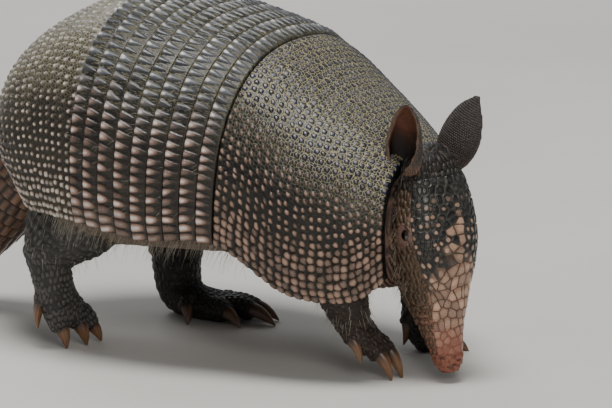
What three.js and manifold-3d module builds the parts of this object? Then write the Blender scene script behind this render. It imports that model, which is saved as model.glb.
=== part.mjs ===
// A nine-banded armadillo, life size, walking with its snout to the ground: banded shell, head with its
// shield, neck, trunk, four legs with feet and claws, ears, eyes and a ringed tail.
// Millimetres, +X forwards, +Y left, +Z up.
import * as THREE from "three";
import { mergeVertices } from "three/addons/utils/BufferGeometryUtils.js";
import Module from "manifold-3d";

const wasm = await Module();
wasm.setup();

// ---- driving sizes -------------------------------------------------------------------------------------
const BAND_COUNT = 9;
const SHELL_THICK = 3.2; // plates of the shell
const GAP = 0.4; // clearance between pieces that meet
const STEP_UP = 1.1; // how far a band's rear edge stands over the next one
const UPPER_POWER = 2.35; // superellipse power of the torso above its widest level
const LOWER_POWER = 3.0; // and below it
const SHELL_SIDES = 18; // facets across a shell plate
const SLIVER = 0.12; // details finer than this are dropped after a cut
const SHELL_RADIUS = 60; // mean radius of the shell, turns a clearance into an angle
const HEAD_RADIUS = 18; // and of the head
const SHIELD_PROUD = 0.7; // how far the head shield stands over the head
const SHIELD_SUNK = 1.1; // and reaches into it
const EAR_LENGTH = 40;
const EYE_RADIUS = 4.2;
// Where the middle of the whole model's footprint lies, in the coordinates that the sizes below use.
const FOOTPRINT_MIDDLE = new THREE.Vector2(-234, 0);

// Torso stations from the shell's front rim to the tail root. x, y, z: centre at the widest level.
// tilt: how far the section leans back; turn: how far its right side leads, both in degrees. w: half width.
// up, down: height and depth of the shell's outer face. belly: depth of the trunk.
// edge: angle from the top to the shell's margin.
const TORSO = [
  { x: 0.5, y: 1.5, z: 76, tilt: 0, turn: 6.5, w: 43.5, up: 38, down: 37.5, belly: 30, edge: 118.5 },
  { x: -15, y: 1.5, z: 75, tilt: 1, turn: 6, w: 56.5, up: 51.5, down: 50, belly: 31, edge: 121.5 },
  { x: -42.5, y: 1.5, z: 79, tilt: -1, turn: 3, w: 67.5, up: 63.5, down: 55.5, belly: 33, edge: 118.5 },
  { x: -76, y: 0.5, z: 86, tilt: -2.5, turn: 0.5, w: 73.5, up: 76.5, down: 43, belly: 30, edge: 106 },
  { x: -115.5, y: 0, z: 90, tilt: -0.5, turn: 0, w: 80, up: 82.5, down: 47, belly: 35, edge: 110.5 },
  { x: -156, y: 0, z: 96, tilt: 1.5, turn: 0, w: 80.5, up: 82, down: 48, belly: 44, edge: 112 },
  { x: -179, y: 0, z: 93.5, tilt: 13.5, turn: 0, w: 76, up: 73.5, down: 46.5, belly: 45, edge: 109.5 },
  { x: -199.5, y: 0, z: 87, tilt: 25.5, turn: 0, w: 67, up: 60, down: 41.5, belly: 38, edge: 105 },
  { x: -214.5, y: 0, z: 81.5, tilt: 43.5, turn: 0, w: 46.5, up: 30.5, down: 31.5, belly: 30, edge: 96 },
  { x: -232.5, y: 0, z: 86.5, tilt: 62, turn: 0, w: 28.5, up: 12.5, down: 24, belly: 22, edge: 87 },
];
const STATION_STEP = 20; // mean distance between stations
const BANDS_FROM = 3; // station where the bands start
const BANDS_TO = 5; // and end

// Head stations from the crown to the nose. a: share of the length. z: axis offset towards the face. w: half
// width. up, down: from the axis to the face and to the throat.
const HEAD_LENGTH = 108;
const HEAD = [
  { a: -0.02, z: 2.5, w: 9, up: 5, down: 5 },
  { a: 0.03, z: 2.2, w: 14.7, up: 9, down: 8.5 },
  { a: 0.12, z: 1.9, w: 17.4, up: 11, down: 12.5 },
  { a: 0.22, z: 1.5, w: 19.6, up: 14, down: 17 },
  { a: 0.32, z: 0.9, w: 21, up: 15.6, down: 20.6 },
  { a: 0.42, z: 0.3, w: 20.6, up: 16.6, down: 21.8 },
  { a: 0.52, z: -0.5, w: 18.4, up: 15.8, down: 21.6 },
  { a: 0.62, z: -1, w: 15.5, up: 13, down: 20.4 },
  { a: 0.72, z: -1, w: 12.5, up: 11, down: 17.5 },
  { a: 0.81, z: -0.5, w: 10.5, up: 9, down: 13 },
  { a: 0.9, z: 0.3, w: 9.3, up: 7.8, down: 9 },
  { a: 0.965, z: 1, w: 8.4, up: 7.4, down: 7.6 },
  { a: 1, z: 1, w: 5.5, up: 5, down: 5.2 },
];
const HEAD_POWER = 2.3;
const CROWN = new THREE.Vector3(8.3, -6.7, 112.9);
const HEAD_HEADING = -17.7; // degrees, where the face looks
const HEAD_PITCH = 80.5; // degrees, how far the snout points down

// Torso-like tubes: p: middle of the section, r: half width across the body and half depth along it.
const NECK = [
  { p: [-30, 3, 77], r: [33, 27] },
  { p: [-14, 4, 80], r: [34, 29] },
  { p: [-4, 2.5, 81], r: [31, 28] },
  { p: [5, -2, 84], r: [25, 26] },
  { p: [15, -6, 86], r: [16, 20] },
];
const TAIL = [
  { p: [-222, 0, 90], r: [21, 19] },
  { p: [-232, 0, 80], r: [22, 21] },
  { p: [-244, 0, 67], r: [20.5, 20] },
  { p: [-260, 0.5, 50], r: [18, 17.5] },
  { p: [-279, 2, 32.5], r: [15.6, 15.2] },
  { p: [-302, 6, 18], r: [13.2, 12.9] },
  { p: [-331, 13, 10.4], r: [11, 10.9] },
  { p: [-364, 22, 8.2], r: [9, 9] },
  { p: [-398, 30, 6.6], r: [7.2, 7.2] },
  { p: [-434, 34, 5.1], r: [5.6, 5.6] },
  { p: [-470, 33, 3.7], r: [4.1, 4.1] },
  { p: [-500, 28, 2.4], r: [2.7, 2.7] },
];
const TAIL_CUTS = [2.0, 4.0, 6.0, 8.4]; // station numbers where one length of the tail ends
// Legs: from inside the trunk to the ankle, then the foot, its toes and its claws.
const LEGS = {
  fore_right: {
    leg: [
      { p: [-22, -40, 66], r: [15, 17] },
      { p: [-20, -41, 50], r: [13, 15] },
      { p: [-19, -37, 38], r: [10.5, 11.5] },
      { p: [-18, -33, 29], r: [9, 9.5] },
    ],
    foot: [
      { p: [-20, -34, 31], r: [8, 8] },
      { p: [-16, -29, 23], r: [10, 7.5] },
      { p: [-12, -25.5, 17], r: [9, 6] },
    ],
    toes: [
      { from: [-20, -34, 27], to: [-16, -37, 20], r: 4, claw: 13, tip: [6.6, -0.5, -11] },
      { from: [-14, -28, 19], to: [-6.5, -27, 12], r: 4.9, claw: 15, tip: [8, 0.5, -12] },
      { from: [-13, -22, 19], to: [-5.5, -19.5, 12.5], r: 4.7, claw: 15.5, tip: [7.5, 1.5, -12.5] },
      { from: [-17, -22, 22], to: [-14, -16, 15], r: 3.6, claw: 10, tip: [5, 2, -9] },
    ],
  },
  fore_left: {
    leg: [
      { p: [-24, 40, 66], r: [15, 16] },
      { p: [-25, 41, 50], r: [13, 13.5] },
      { p: [-27, 42, 36], r: [10.5, 10.5] },
      { p: [-28.5, 43, 23], r: [9, 8.8] },
    ],
    foot: [
      { p: [-29, 43, 23], r: [8.5, 8.2] },
      { p: [-28, 43.5, 13], r: [10, 8.5] },
      { p: [-22, 44, 6.1], r: [12, 7] },
      { p: [-18, 44.5, 4.4], r: [10.5, 5.4] },
    ],
    toes: [
      { from: [-29, 52, 9], to: [-24, 55.5, 4], r: 3.9, claw: 9, tip: [7, 3, -5] },
      { from: [-22, 48, 8.5], to: [-14, 50, 4.6], r: 4.6, claw: 12, tip: [9, 1.5, -4.4] },
      { from: [-22, 41, 8.5], to: [-14.5, 41, 4.6], r: 4.6, claw: 12, tip: [9, -1, -4.4] },
      { from: [-29, 38, 19], to: [-31, 34.5, 14], r: 3.6, claw: 11.5, tip: [0, -1.5, -11] },
    ],
  },
  hind_right: {
    leg: [
      { p: [-166, -48, 80], r: [18, 27] },
      { p: [-173, -53, 68], r: [16, 25] },
      { p: [-181, -57, 57], r: [13.5, 19] },
      { p: [-187, -58, 47], r: [11.5, 13] },
    ],
    foot: [
      { p: [-188, -58, 53], r: [11, 12] },
      { p: [-184, -58, 38], r: [10.6, 10] },
      { p: [-182, -56, 26], r: [11.5, 8.5] },
      { p: [-180, -50, 15], r: [14, 7] },
    ],
    toes: [
      { from: [-185, -63, 31], to: [-184.5, -66, 24], r: 4.2, claw: 14, tip: [-2.5, -0.5, -14] },
      { from: [-182, -57.5, 20], to: [-179.5, -58, 11.5], r: 5.2, claw: 12.8, tip: [5, 0.5, -11.5] },
      { from: [-180, -48, 18], to: [-175.5, -47, 10.8], r: 5.2, claw: 12.2, tip: [4.5, 2, -11] },
      { from: [-179, -41, 16], to: [-174, -37.5, 8.6], r: 4.7, claw: 10, tip: [5, 3, -8.5] },
      { from: [-181, -38, 17], to: [-178.5, -31.5, 10], r: 3.8, claw: 8.5, tip: [3, 2.5, -8] },
    ],
  },
  hind_left: {
    leg: [
      { p: [-166, 46, 80], r: [18, 27] },
      { p: [-172, 47, 64], r: [16.5, 22] },
      { p: [-178, 46, 46], r: [13, 17] },
      { p: [-179, 45, 30], r: [11.5, 14.5] },
    ],
    foot: [
      { p: [-179, 45, 30], r: [11, 13] },
      { p: [-176, 45, 13], r: [11, 11.5] },
      { p: [-167, 44, 8], r: [11.5, 8.5] },
      { p: [-155, 43, 7], r: [13.5, 7.4] },
      { p: [-145, 43, 5.8], r: [13.5, 6] },
    ],
    toes: [
      { from: [-156, 55, 8], to: [-146, 60, 5], r: 4.2, claw: 10, tip: [8, 3, -4] },
      { from: [-147, 51, 8], to: [-135, 54, 5.6], r: 5, claw: 14, tip: [13, 2, -5] },
      { from: [-145, 44, 8.5], to: [-132, 44.5, 6], r: 5.4, claw: 16, tip: [15, 0.5, -5.5] },
      { from: [-150, 37, 8], to: [-140, 34, 5.8], r: 5, claw: 12.5, tip: [11, -3, -5.4] },
      { from: [-163, 33, 9], to: [-160, 27, 7], r: 4.2, claw: 10, tip: [4.5, -5, -6.5] },
    ],
  },
};

// ---- small tools ---------------------------------------------------------------------------------------
const vec = (x, y, z) => new THREE.Vector3(x, y, z);
const rad = THREE.MathUtils.degToRad;
const signedPower = (v, p) => Math.sign(v) * Math.abs(v) ** p;

// Catmull-Rom value at place u in a list of numbers.
function smooth(values, u) {
  const last = values.length - 1;
  const i = Math.min(Math.max(Math.floor(u), 0), last - 1);
  const f = u - i;
  const at = (k) => values[Math.min(Math.max(k, 0), last)];
  const [a, b, c, d] = [at(i - 1), at(i), at(i + 1), at(i + 2)];
  return 0.5 * (2 * b + (c - a) * f + (2 * a - 5 * b + 4 * c - d) * f * f + (3 * b - a - 3 * c + d) * f ** 3);
}
const along = (stations, key, u) => smooth(stations.map((s) => s[key]), u);

// A closed geometry from points and triangle indices, turned to face outwards.
function bodyOf(points, faces) {
  const geometry = new THREE.BufferGeometry();
  geometry.setAttribute("position", new THREE.Float32BufferAttribute(points.flatMap((p) => p.toArray()), 3));
  let volume = 0;
  for (let i = 0; i < faces.length; i += 3) {
    const [a, b, c] = [points[faces[i]], points[faces[i + 1]], points[faces[i + 2]]];
    volume += a.dot(b.clone().cross(c));
  }
  geometry.setIndex(volume < 0 ? faces.toReversed() : faces);
  return geometry;
}

// A closed body through rings that all have the same count of points, with a fan at each end.
function loft(rings) {
  const sides = rings[0].length;
  const middle = (ring) => ring.reduce((sum, p) => sum.add(p), vec(0, 0, 0)).divideScalar(sides);
  const points = [...rings.flat(), middle(rings[0]), middle(rings.at(-1))];
  const faces = [];
  for (let r = 0; r < rings.length - 1; r++)
    for (let k = 0; k < sides; k++) {
      const [a, b] = [r * sides + k, r * sides + ((k + 1) % sides)];
      faces.push(a, b, b + sides, a, b + sides, a + sides);
    }
  const [first, last, end] = [points.length - 2, points.length - 1, (rings.length - 1) * sides];
  for (let k = 0; k < sides; k++) {
    const next = (k + 1) % sides;
    faces.push(first, next, k, last, end + k, end + next);
  }
  return bodyOf(points, faces);
}

// A tube through stations { p, r } with a ring at each, its ends rounded off over `cap` and `endCap`.
function tube(stations, options = {}) {
  const { sides = 12, grow = 0, from = 0, to = stations.length - 1, cap = 0, endCap = cap } = options;
  const place = (u) => vec(...[0, 1, 2].map((i) => smooth(stations.map((s) => s.p[i]), u)));
  const count = Math.max(1, Math.round(to - from));
  const rings = [];
  const ring = (u, scale, shift) => {
    const forward = place(u + 0.01).sub(place(u - 0.01)).normalize();
    const across = vec(0, 1, 0).addScaledVector(forward, -forward.y).normalize();
    const deep = forward.clone().cross(across);
    const [wide, tall] = [0, 1].map((i) => (smooth(stations.map((s) => s.r[i]), u) + grow) * scale);
    const centre = place(u).addScaledVector(forward, shift);
    return Array.from({ length: sides }, (_, k) => {
      const t = (2 * Math.PI * (k + 0.5)) / sides;
      const point = centre.clone().addScaledVector(across, wide * Math.cos(t));
      return point.addScaledVector(deep, tall * Math.sin(t));
    });
  };
  if (cap) rings.push(ring(from, 0.6, -cap - grow));
  for (let i = 0; i <= count; i++) {
    const shift = i === 0 ? -grow : i === count ? grow : 0;
    rings.push(ring(from + ((to - from) * i) / count, 1, shift));
  }
  if (endCap) rings.push(ring(to, 0.6, endCap + grow));
  return loft(rings);
}

function solidOf(geometry) {
  geometry.deleteAttribute("uv");
  geometry.deleteAttribute("normal");
  const merged = mergeVertices(geometry, 1e-3);
  return new wasm.Manifold(
    new wasm.Mesh({
      numProp: 3,
      vertProperties: new Float32Array(merged.attributes.position.array),
      triVerts: new Uint32Array(merged.index.array),
    }),
  );
}

// The solid as a geometry, less its slivers; only its largest piece is kept.
function geometryOf(solid) {
  const pieces = solid.simplify(SLIVER).decompose();
  pieces.sort((a, b) => b.volume() - a.volume());
  const mesh = pieces[0].getMesh();
  const places = [];
  for (let i = 0; i < mesh.numVert; i++) {
    const at = i * mesh.numProp;
    places.push(...mesh.vertProperties.slice(at, at + 3));
  }
  const geometry = new THREE.BufferGeometry();
  geometry.setAttribute("position", new THREE.Float32BufferAttribute(places, 3));
  geometry.setIndex(new THREE.BufferAttribute(new Uint32Array(mesh.triVerts), 1));
  return geometry;
}

const joined = (parts) => parts.map(solidOf).reduce((a, b) => a.add(b));
const without = (solid, cutters) => cutters.map(solidOf).reduce((a, b) => a.subtract(b), solid);
const belowFloor = () => new THREE.BoxGeometry(900, 400, 200).translate(-200, 0, -100);

// ---- torso and shell -----------------------------------------------------------------------------------
// A point of the torso at station number u and angle t from the top, `inset` inside the shell's outer face.
function torsoPoint(u, t, inset = 0, isTrunk = false) {
  const size = (key) => along(TORSO, key, u);
  const [c, s] = [Math.cos(t), Math.sin(t)];
  const lower = isTrunk ? size("belly") : size("down") - inset;
  const across = (size("w") - inset) * signedPower(s, 2 / (c > 0 ? UPPER_POWER : LOWER_POWER));
  const height = c > 0 ? (size("up") - inset) * c ** (2 / UPPER_POWER) : -lower * (-c) ** (2 / LOWER_POWER);
  const [lean, turn] = [rad(size("tilt")), rad(size("turn"))];
  return vec(
    size("x") - Math.sin(lean) * height - across * Math.sin(turn),
    size("y") + across * Math.cos(turn),
    size("z") + Math.cos(lean) * height,
  );
}

// A closed slab between two sheets of points, outer first, each with rows + 1 rows of columns + 1 points.
function slab(points, rows, columns) {
  const [wide, inner] = [columns + 1, (rows + 1) * (columns + 1)];
  const faces = [];
  const quad = (a, b, c, d) => faces.push(a, b, c, a, c, d);
  for (let r = 0; r < rows; r++) {
    const [a, b] = [r * wide, (r + 1) * wide];
    for (let k = 0; k < columns; k++) {
      quad(a + k, a + k + 1, b + k + 1, b + k);
      quad(inner + a + k, inner + b + k, inner + b + k + 1, inner + a + k + 1);
    }
    quad(a, b, inner + b, inner + a);
    quad(a + columns, inner + a + columns, inner + b + columns, b + columns);
  }
  for (let k = 0; k < columns; k++) {
    const end = rows * wide + k;
    quad(k + 1, k, inner + k, inner + k + 1);
    quad(end, end + 1, inner + end + 1, inner + end);
  }
  return bodyOf(points, faces);
}

// A plate of the shell from station u0 to u1, down to its margin on both sides. raise(f): how far the
// outer face stands proud at share f of its length. grow: clearance all round, for cutting.
function plate(u0, u1, rows, { raise = () => 0, grow = 0 } = {}) {
  const points = [];
  const layer = (inset, lift) => {
    for (let r = 0; r <= rows; r++)
      for (let k = 0; k <= SHELL_SIDES; k++) {
        const u = u0 + ((u1 - u0) * r) / rows;
        const edge = rad(along(TORSO, "edge", u)) + grow / SHELL_RADIUS;
        points.push(torsoPoint(u, edge * ((2 * k) / SHELL_SIDES - 1), inset - lift * raise(r / rows)));
      }
  };
  layer(-grow, 1);
  layer(SHELL_THICK + grow, 0);
  return slab(points, rows, SHELL_SIDES);
}

function trunkBody(grow = 0) {
  const ends = grow / STATION_STEP;
  const places = [0.95 - ends, 1.5, 2, 3, 4, 5, 6, 6.5, 7, 7.5, 8, 8.45 + ends];
  return loft(
    places.map((u) =>
      Array.from({ length: SHELL_SIDES }, (_, k) => {
        const point = torsoPoint(u, (2 * Math.PI * k) / SHELL_SIDES, SHELL_THICK + 1.3 - grow, true);
        return Math.abs(k - SHELL_SIDES / 2) < SHELL_SIDES / 4 ? point.add(vec(0, 0, -grow)) : point;
      }),
    ),
  );
}

// ---- head ----------------------------------------------------------------------------------------------
const headTurn = new THREE.Matrix4()
  .makeRotationZ(rad(HEAD_HEADING))
  .multiply(new THREE.Matrix4().makeRotationY(rad(HEAD_PITCH)))
  .setPosition(CROWN);

// A point of the head at share a of its length and angle t from the middle of the face.
function headPoint(a, t, inset = 0) {
  const shares = HEAD.map((s) => s.a);
  let u = shares.findIndex((share) => share > a) - 1;
  if (u < 0) u = shares.length - 2;
  u += (a - shares[u]) / (shares[u + 1] - shares[u]);
  const size = (key) => along(HEAD, key, u);
  const [c, s] = [Math.cos(t), Math.sin(t)];
  const reach = c > 0 ? size("up") - inset : size("down") - inset;
  return vec(
    a * HEAD_LENGTH,
    (size("w") - inset) * signedPower(s, 2 / HEAD_POWER),
    size("z") + reach * signedPower(c, 2 / HEAD_POWER),
  );
}

function headBody(grow = 0) {
  const sides = 18;
  const shares = [-0.02, 0.03, 0.11, 0.2, 0.3, 0.4, 0.5, 0.6, 0.7, 0.8, 0.9, 0.965, 1];
  return loft(
    shares.map((a, i) =>
      Array.from({ length: sides }, (_, k) => {
        const shift = i === 0 ? -grow : i === shares.length - 1 ? grow : 0;
        return headPoint(a, (2 * Math.PI * k) / sides, -grow).add(vec(shift, 0, 0));
      }),
    ),
  );
}

// The head shield: one plate over the forehead and the bridge of the snout.
function headShieldBody(grow = 0) {
  const [rows, columns] = [6, 6];
  const points = [];
  const from = 0.1 - grow / HEAD_LENGTH;
  const to = 0.66 + grow / HEAD_LENGTH;
  for (const inset of [-SHIELD_PROUD - grow, SHIELD_SUNK + grow])
    for (let r = 0; r <= rows; r++)
      for (let k = 0; k <= columns; k++) {
        const f = r / rows;
        const reach = rad(64 - 14 * f + 10 * Math.sin(Math.PI * f)) + grow / HEAD_RADIUS;
        points.push(headPoint(from + (to - from) * f, reach * ((2 * k) / columns - 1), inset));
      }
  return slab(points, rows, columns);
}

const eyePlace = (side) => vec(38.2, side * 17.4, 1.9);
const eyeBody = (side, grow = 0) => {
  const eye = new THREE.IcosahedronGeometry(EYE_RADIUS + grow, 1);
  eye.deleteAttribute("uv");
  eye.deleteAttribute("normal");
  return mergeVertices(eye, 1e-3).translate(...eyePlace(side).toArray());
};

// An ear: a leaf rolled into a cup that opens outwards. Share of its length, half width, and half angle
// of the roll.
const EAR = [
  [0, 7, 140],
  [0.13, 9.8, 128],
  [0.3, 11, 112],
  [0.5, 10.5, 98],
  [0.7, 8.4, 84],
  [0.87, 5.2, 70],
  [1, 2, 55],
];
const EAR_THICK = 1.5;
const EAR_DEPTH = 0.6; // of the cup, against its half width
const EAR_AIM = { left: -20, right: 12 }; // degrees towards the face, from straight out
function earBody(side, grow = 0) {
  const axis = vec(-33.5, side * 8.7, 19.7).normalize();
  const aim = rad(side > 0 ? EAR_AIM.left : EAR_AIM.right);
  const opening = vec(0, side * Math.cos(aim), Math.sin(aim));
  opening.addScaledVector(axis, -opening.dot(axis)).normalize();
  const across = axis.clone().cross(opening);
  const root = vec(7, side * 14.5, -1.5);
  const half = 5;
  const rings = EAR.map(([share, wide, roll], i) => {
    const shift = i === 0 ? -grow : i === EAR.length - 1 ? grow : 0;
    const centre = root.clone().addScaledVector(axis, share * EAR_LENGTH + shift);
    const arc = (radius, sign) =>
      Array.from({ length: half + 1 }, (_, k) => {
        const t = rad(roll) * ((2 * k) / half - 1) * sign;
        return centre
          .clone()
          .addScaledVector(across, radius * Math.sin(t))
          .addScaledVector(opening, -EAR_DEPTH * radius * Math.cos(t));
      });
    return [...arc(wide + grow, 1), ...arc(wide - EAR_THICK - grow, -1)];
  });
  return loft(rings);
}
const onHead = (geometry) => geometry.applyMatrix4(headTurn);

// ---- feet ----------------------------------------------------------------------------------------------
// A claw: a hooked cone from the toe's end, flat-sided, curving down to its point.
function clawBody({ to, r, claw, tip }, grow = 0) {
  const end = vec(...to);
  const reach = vec(...tip).normalize();
  const side = vec(0, 1, 0).addScaledVector(reach, -reach.y).normalize();
  const top = side.clone().cross(reach).multiplyScalar(-1);
  if (top.z < 0) top.negate();
  const rings = [
    [0, 0.8, 0.8],
    [0.3, 0.66, 0.7],
    [0.7, 0.4, 0.44],
    [1, 0.12, 0.12],
  ].map(([share, wide, tall], i) => {
    const shift = share * claw + (i === 0 ? GAP - grow : i === 3 ? grow : 0);
    const arch = 0.11 * claw * (1 - (share - 0.4) ** 2 / 0.36) - 0.3;
    const centre = end.clone().addScaledVector(reach, shift).addScaledVector(top, arch);
    return Array.from({ length: 6 }, (_, k) => {
      const t = (2 * Math.PI * (k + 0.5)) / 6;
      return centre
        .clone()
        .addScaledVector(side, (wide * r + grow) * Math.cos(t))
        .addScaledVector(top, (tall * r + grow) * Math.sin(t));
    });
  });
  return loft(rings);
}

function toeBody({ from, to, r }) {
  const [a, b] = [vec(...from), vec(...to)];
  const mid = a.clone().lerp(b, 0.5).add(vec(0, 0, 1));
  const stations = [
    { p: a.toArray(), r: [0.95 * r, r] },
    { p: mid.toArray(), r: [r, r] },
    { p: b.toArray(), r: [0.98 * r, 0.95 * r] },
  ];
  return tube(stations, { sides: 6, cap: r * 0.55, endCap: 0 });
}

// ---- build ---------------------------------------------------------------------------------------------
const animal = new THREE.Group();
animal.position.set(-FOOTPRINT_MIDDLE.x, -FOOTPRINT_MIDDLE.y, 0);

const finish = {
  shell: new THREE.MeshStandardMaterial({ color: 0x5b5348, roughness: 0.5 }),
  skin: new THREE.MeshStandardMaterial({ color: 0x54463c, roughness: 0.8 }),
  claw: new THREE.MeshStandardMaterial({ color: 0xa5795a, roughness: 0.45 }),
  eye: new THREE.MeshStandardMaterial({ color: 0x0c0908, roughness: 0.08 }),
};

function add(name, geometry, material) {
  const mesh = new THREE.Mesh(geometry, material);
  mesh.name = name;
  animal.add(mesh);
}

// Shell
const bandStep = (BANDS_TO - BANDS_FROM) / BAND_COUNT;
const open = 0.006; // share of a station left open on each side of a joint between plates
add("scapular_shield", plate(0, BANDS_FROM - open, 6), finish.shell);
for (let n = 0; n < BAND_COUNT; n++) {
  const from = BANDS_FROM + n * bandStep;
  const shape = plate(from + open, from + bandStep - open, 1, { raise: (f) => STEP_UP * f });
  add(`band_${n + 1}`, shape, finish.shell);
}
add("pelvic_shield", plate(BANDS_TO + open, TORSO.length - 1, 8), finish.shell);
add("trunk", trunkBody(), finish.skin);

// Cutters that leave the clearance round what is already in place
const roundShell = () => [
  plate(-0.06, BANDS_FROM, 6, { grow: GAP }),
  plate(BANDS_FROM, BANDS_TO, 6, { grow: GAP }),
  plate(BANDS_TO, TORSO.length - 1 + 0.02, 8, { grow: GAP }),
];

// Head
const headCutters = [headShieldBody(GAP), eyeBody(1, GAP), eyeBody(-1, GAP)];
headCutters.forEach(onHead);
const headShape = without(solidOf(onHead(headBody())), [...headCutters, roundShell()[0], trunkBody(GAP)]);
add("head", geometryOf(headShape), finish.skin);
add("head_shield", onHead(headShieldBody()), finish.shell);
for (const [name, side] of [["left", 1], ["right", -1]]) {
  add(`eye_${name}`, onHead(eyeBody(side)), finish.eye);
  const earShape = without(solidOf(onHead(earBody(side))), [onHead(headBody(GAP)), roundShell()[0]]);
  add(`ear_${name}`, geometryOf(earShape), finish.skin);
}
const earCutters = [1, -1].map((side) => onHead(earBody(side, GAP)));
const neckCutters = [onHead(headBody(GAP)), ...earCutters, trunkBody(GAP), ...roundShell()];
add("neck", geometryOf(without(solidOf(tube(NECK, { sides: 14, cap: 4 })), neckCutters)), finish.skin);

// Tail, in lengths
const tailEnds = [0, ...TAIL_CUTS, TAIL.length - 1];
for (let n = 0; n < tailEnds.length - 1; n++) {
  const [from, to] = [tailEnds[n] + (n ? 0.01 : 0), tailEnds[n + 1]];
  let shape = solidOf(tube(TAIL, { sides: 10, from, to, endCap: to === TAIL.length - 1 ? 1.5 : 0 }));
  shape = without(shape, n ? [belowFloor()] : [trunkBody(GAP), roundShell()[2]]);
  add(`tail_${n + 1}`, geometryOf(shape), finish.skin);
}

// Legs, feet and claws
for (const [name, { leg, foot, toes }] of Object.entries(LEGS)) {
  const legCutters = [trunkBody(GAP), tube(NECK, { sides: 14, cap: 4, grow: GAP }), ...roundShell()];
  const legShape = without(solidOf(tube(leg, { sides: 8, cap: 3 })), legCutters);
  add(`leg_${name}`, geometryOf(legShape), finish.skin);
  const footShape = joined([tube(foot, { sides: 9, cap: 2.5 }), ...toes.map(toeBody)]);
  const clawCutters = toes.map((toe) => clawBody(toe, GAP));
  const cutters = [tube(leg, { sides: 8, cap: 3, grow: GAP }), ...clawCutters, belowFloor()];
  add(`foot_${name}`, geometryOf(without(footShape, cutters)), finish.skin);
  toes.forEach((toe, n) => {
    const clawShape = without(solidOf(clawBody(toe)), [belowFloor()]);
    add(`claw_${name}_${n + 1}`, geometryOf(clawShape), finish.claw);
  });
}

export default animal;
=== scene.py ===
"""A nine-banded armadillo, life size: finished shell, skin, scales, hairs, claws and eyes."""
import math

import bmesh
import bpy
import numpy as np
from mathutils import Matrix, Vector
from mathutils.bvhtree import BVHTree
from mathutils.kdtree import KDTree


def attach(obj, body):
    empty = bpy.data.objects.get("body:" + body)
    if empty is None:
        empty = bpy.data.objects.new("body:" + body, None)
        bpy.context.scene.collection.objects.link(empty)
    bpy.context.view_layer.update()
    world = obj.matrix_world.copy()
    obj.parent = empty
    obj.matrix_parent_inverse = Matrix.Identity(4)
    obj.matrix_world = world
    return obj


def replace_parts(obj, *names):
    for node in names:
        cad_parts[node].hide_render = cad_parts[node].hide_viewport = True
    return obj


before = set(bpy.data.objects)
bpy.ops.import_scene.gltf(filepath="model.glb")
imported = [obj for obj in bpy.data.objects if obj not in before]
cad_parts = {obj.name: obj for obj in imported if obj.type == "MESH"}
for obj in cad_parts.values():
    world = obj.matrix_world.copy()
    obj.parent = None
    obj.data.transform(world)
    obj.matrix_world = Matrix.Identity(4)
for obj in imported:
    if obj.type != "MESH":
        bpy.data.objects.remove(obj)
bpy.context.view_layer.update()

# ---- driving sizes, in millimetres and degrees unless a name says otherwise ----
MM = 0.001  # metres
SNOUT_TO_MIDDLE = 234.0  # from the front claw tip, where the sizes below start, to the footprint's middle

SHELL_THICK = 3.2
BAND_COUNT = 9
BAND_STEP_UP = 1.1  # how far a band's rear edge stands over the next band
JOINT_GAP = 0.006  # share of a station left open on each side of a joint between plates
UPPER_POWER = 2.35  # superellipse power of the torso above its widest level
LOWER_POWER = 3.0
BANDS_FROM = 3  # station where the bands start
BANDS_TO = 5

# Torso stations from the shell's front rim to the tail root: x, y, z of the centre, tilt back, turn, half
# width, height and depth of the shell's outer face, depth of the belly, angle from the top to the margin.
TORSO_KEYS = ("x", "y", "z", "tilt", "turn", "wide", "up", "down", "belly", "edge")
TORSO = [
    (0.5, 1.5, 76, 0, 6.5, 43.5, 38, 37.5, 30, 118.5),
    (-15, 1.5, 75, 1, 6, 56.5, 51.5, 50, 31, 121.5),
    (-42.5, 1.5, 79, -1, 3, 67.5, 63.5, 55.5, 33, 118.5),
    (-76, 0.5, 86, -2.5, 0.5, 73.5, 76.5, 43, 30, 106),
    (-115.5, 0, 90, -0.5, 0, 80, 82.5, 47, 35, 110.5),
    (-156, 0, 96, 1.5, 0, 80.5, 82, 48, 44, 112),
    (-179, 0, 93.5, 13.5, 0, 76, 73.5, 46.5, 45, 109.5),
    (-199.5, 0, 87, 25.5, 0, 67, 60, 41.5, 38, 105),
    (-214.5, 0, 81.5, 43.5, 0, 46.5, 30.5, 31.5, 30, 96),
    (-232.5, 0, 86.5, 62, 0, 28.5, 12.5, 24, 22, 87),
]

# Head stations from the crown to the nose: share of the length, axis offset towards the face, half width,
# reach to the face, reach to the throat.
HEAD_LENGTH = 108.0
HEAD_POWER = 2.3
HEAD = [
    (-0.02, 2.5, 9, 5, 5),
    (0.03, 2.2, 14.7, 9, 8.5),
    (0.12, 1.9, 17.4, 11, 12.5),
    (0.22, 1.5, 19.6, 14, 17),
    (0.32, 0.9, 21, 15.6, 20.6),
    (0.42, 0.3, 20.6, 16.6, 21.8),
    (0.52, -0.5, 18.4, 15.8, 21.6),
    (0.62, -1, 15.5, 13, 20.4),
    (0.72, -1, 12.5, 11, 17.5),
    (0.81, -0.5, 9.9, 8.8, 12.6),
    (0.9, 0.3, 8.2, 7.4, 8.6),
    (0.965, 1, 7.1, 6.7, 7),
    (1, 1, 4.8, 4.6, 4.8),
]
CROWN = (8.3, -6.7, 112.9)
SHIELD_FROM, SHIELD_TO = 0.1, 0.66  # shares of the head's length that the head shield covers
PLATES_TO = 0.93  # thinner plates go on down the snout
HEAD_HEADING = -17.7  # where the face looks
HEAD_PITCH = 80.5  # how far the snout points down
EYE_PLACE = (38.2, 17.4, 1.9)  # left eye in the head's own axes: along, left, towards the face
EYE_RADIUS = 4.2
EYE_LOOK = (-0.05, 0.93, 0.36)  # the way the left eye looks, in the same axes
EYE_CLEAR = 6.8  # no scales grow nearer to an eye's middle
NOSTRIL_PLACE = (HEAD_LENGTH, 2.9, 1.6)

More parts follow.
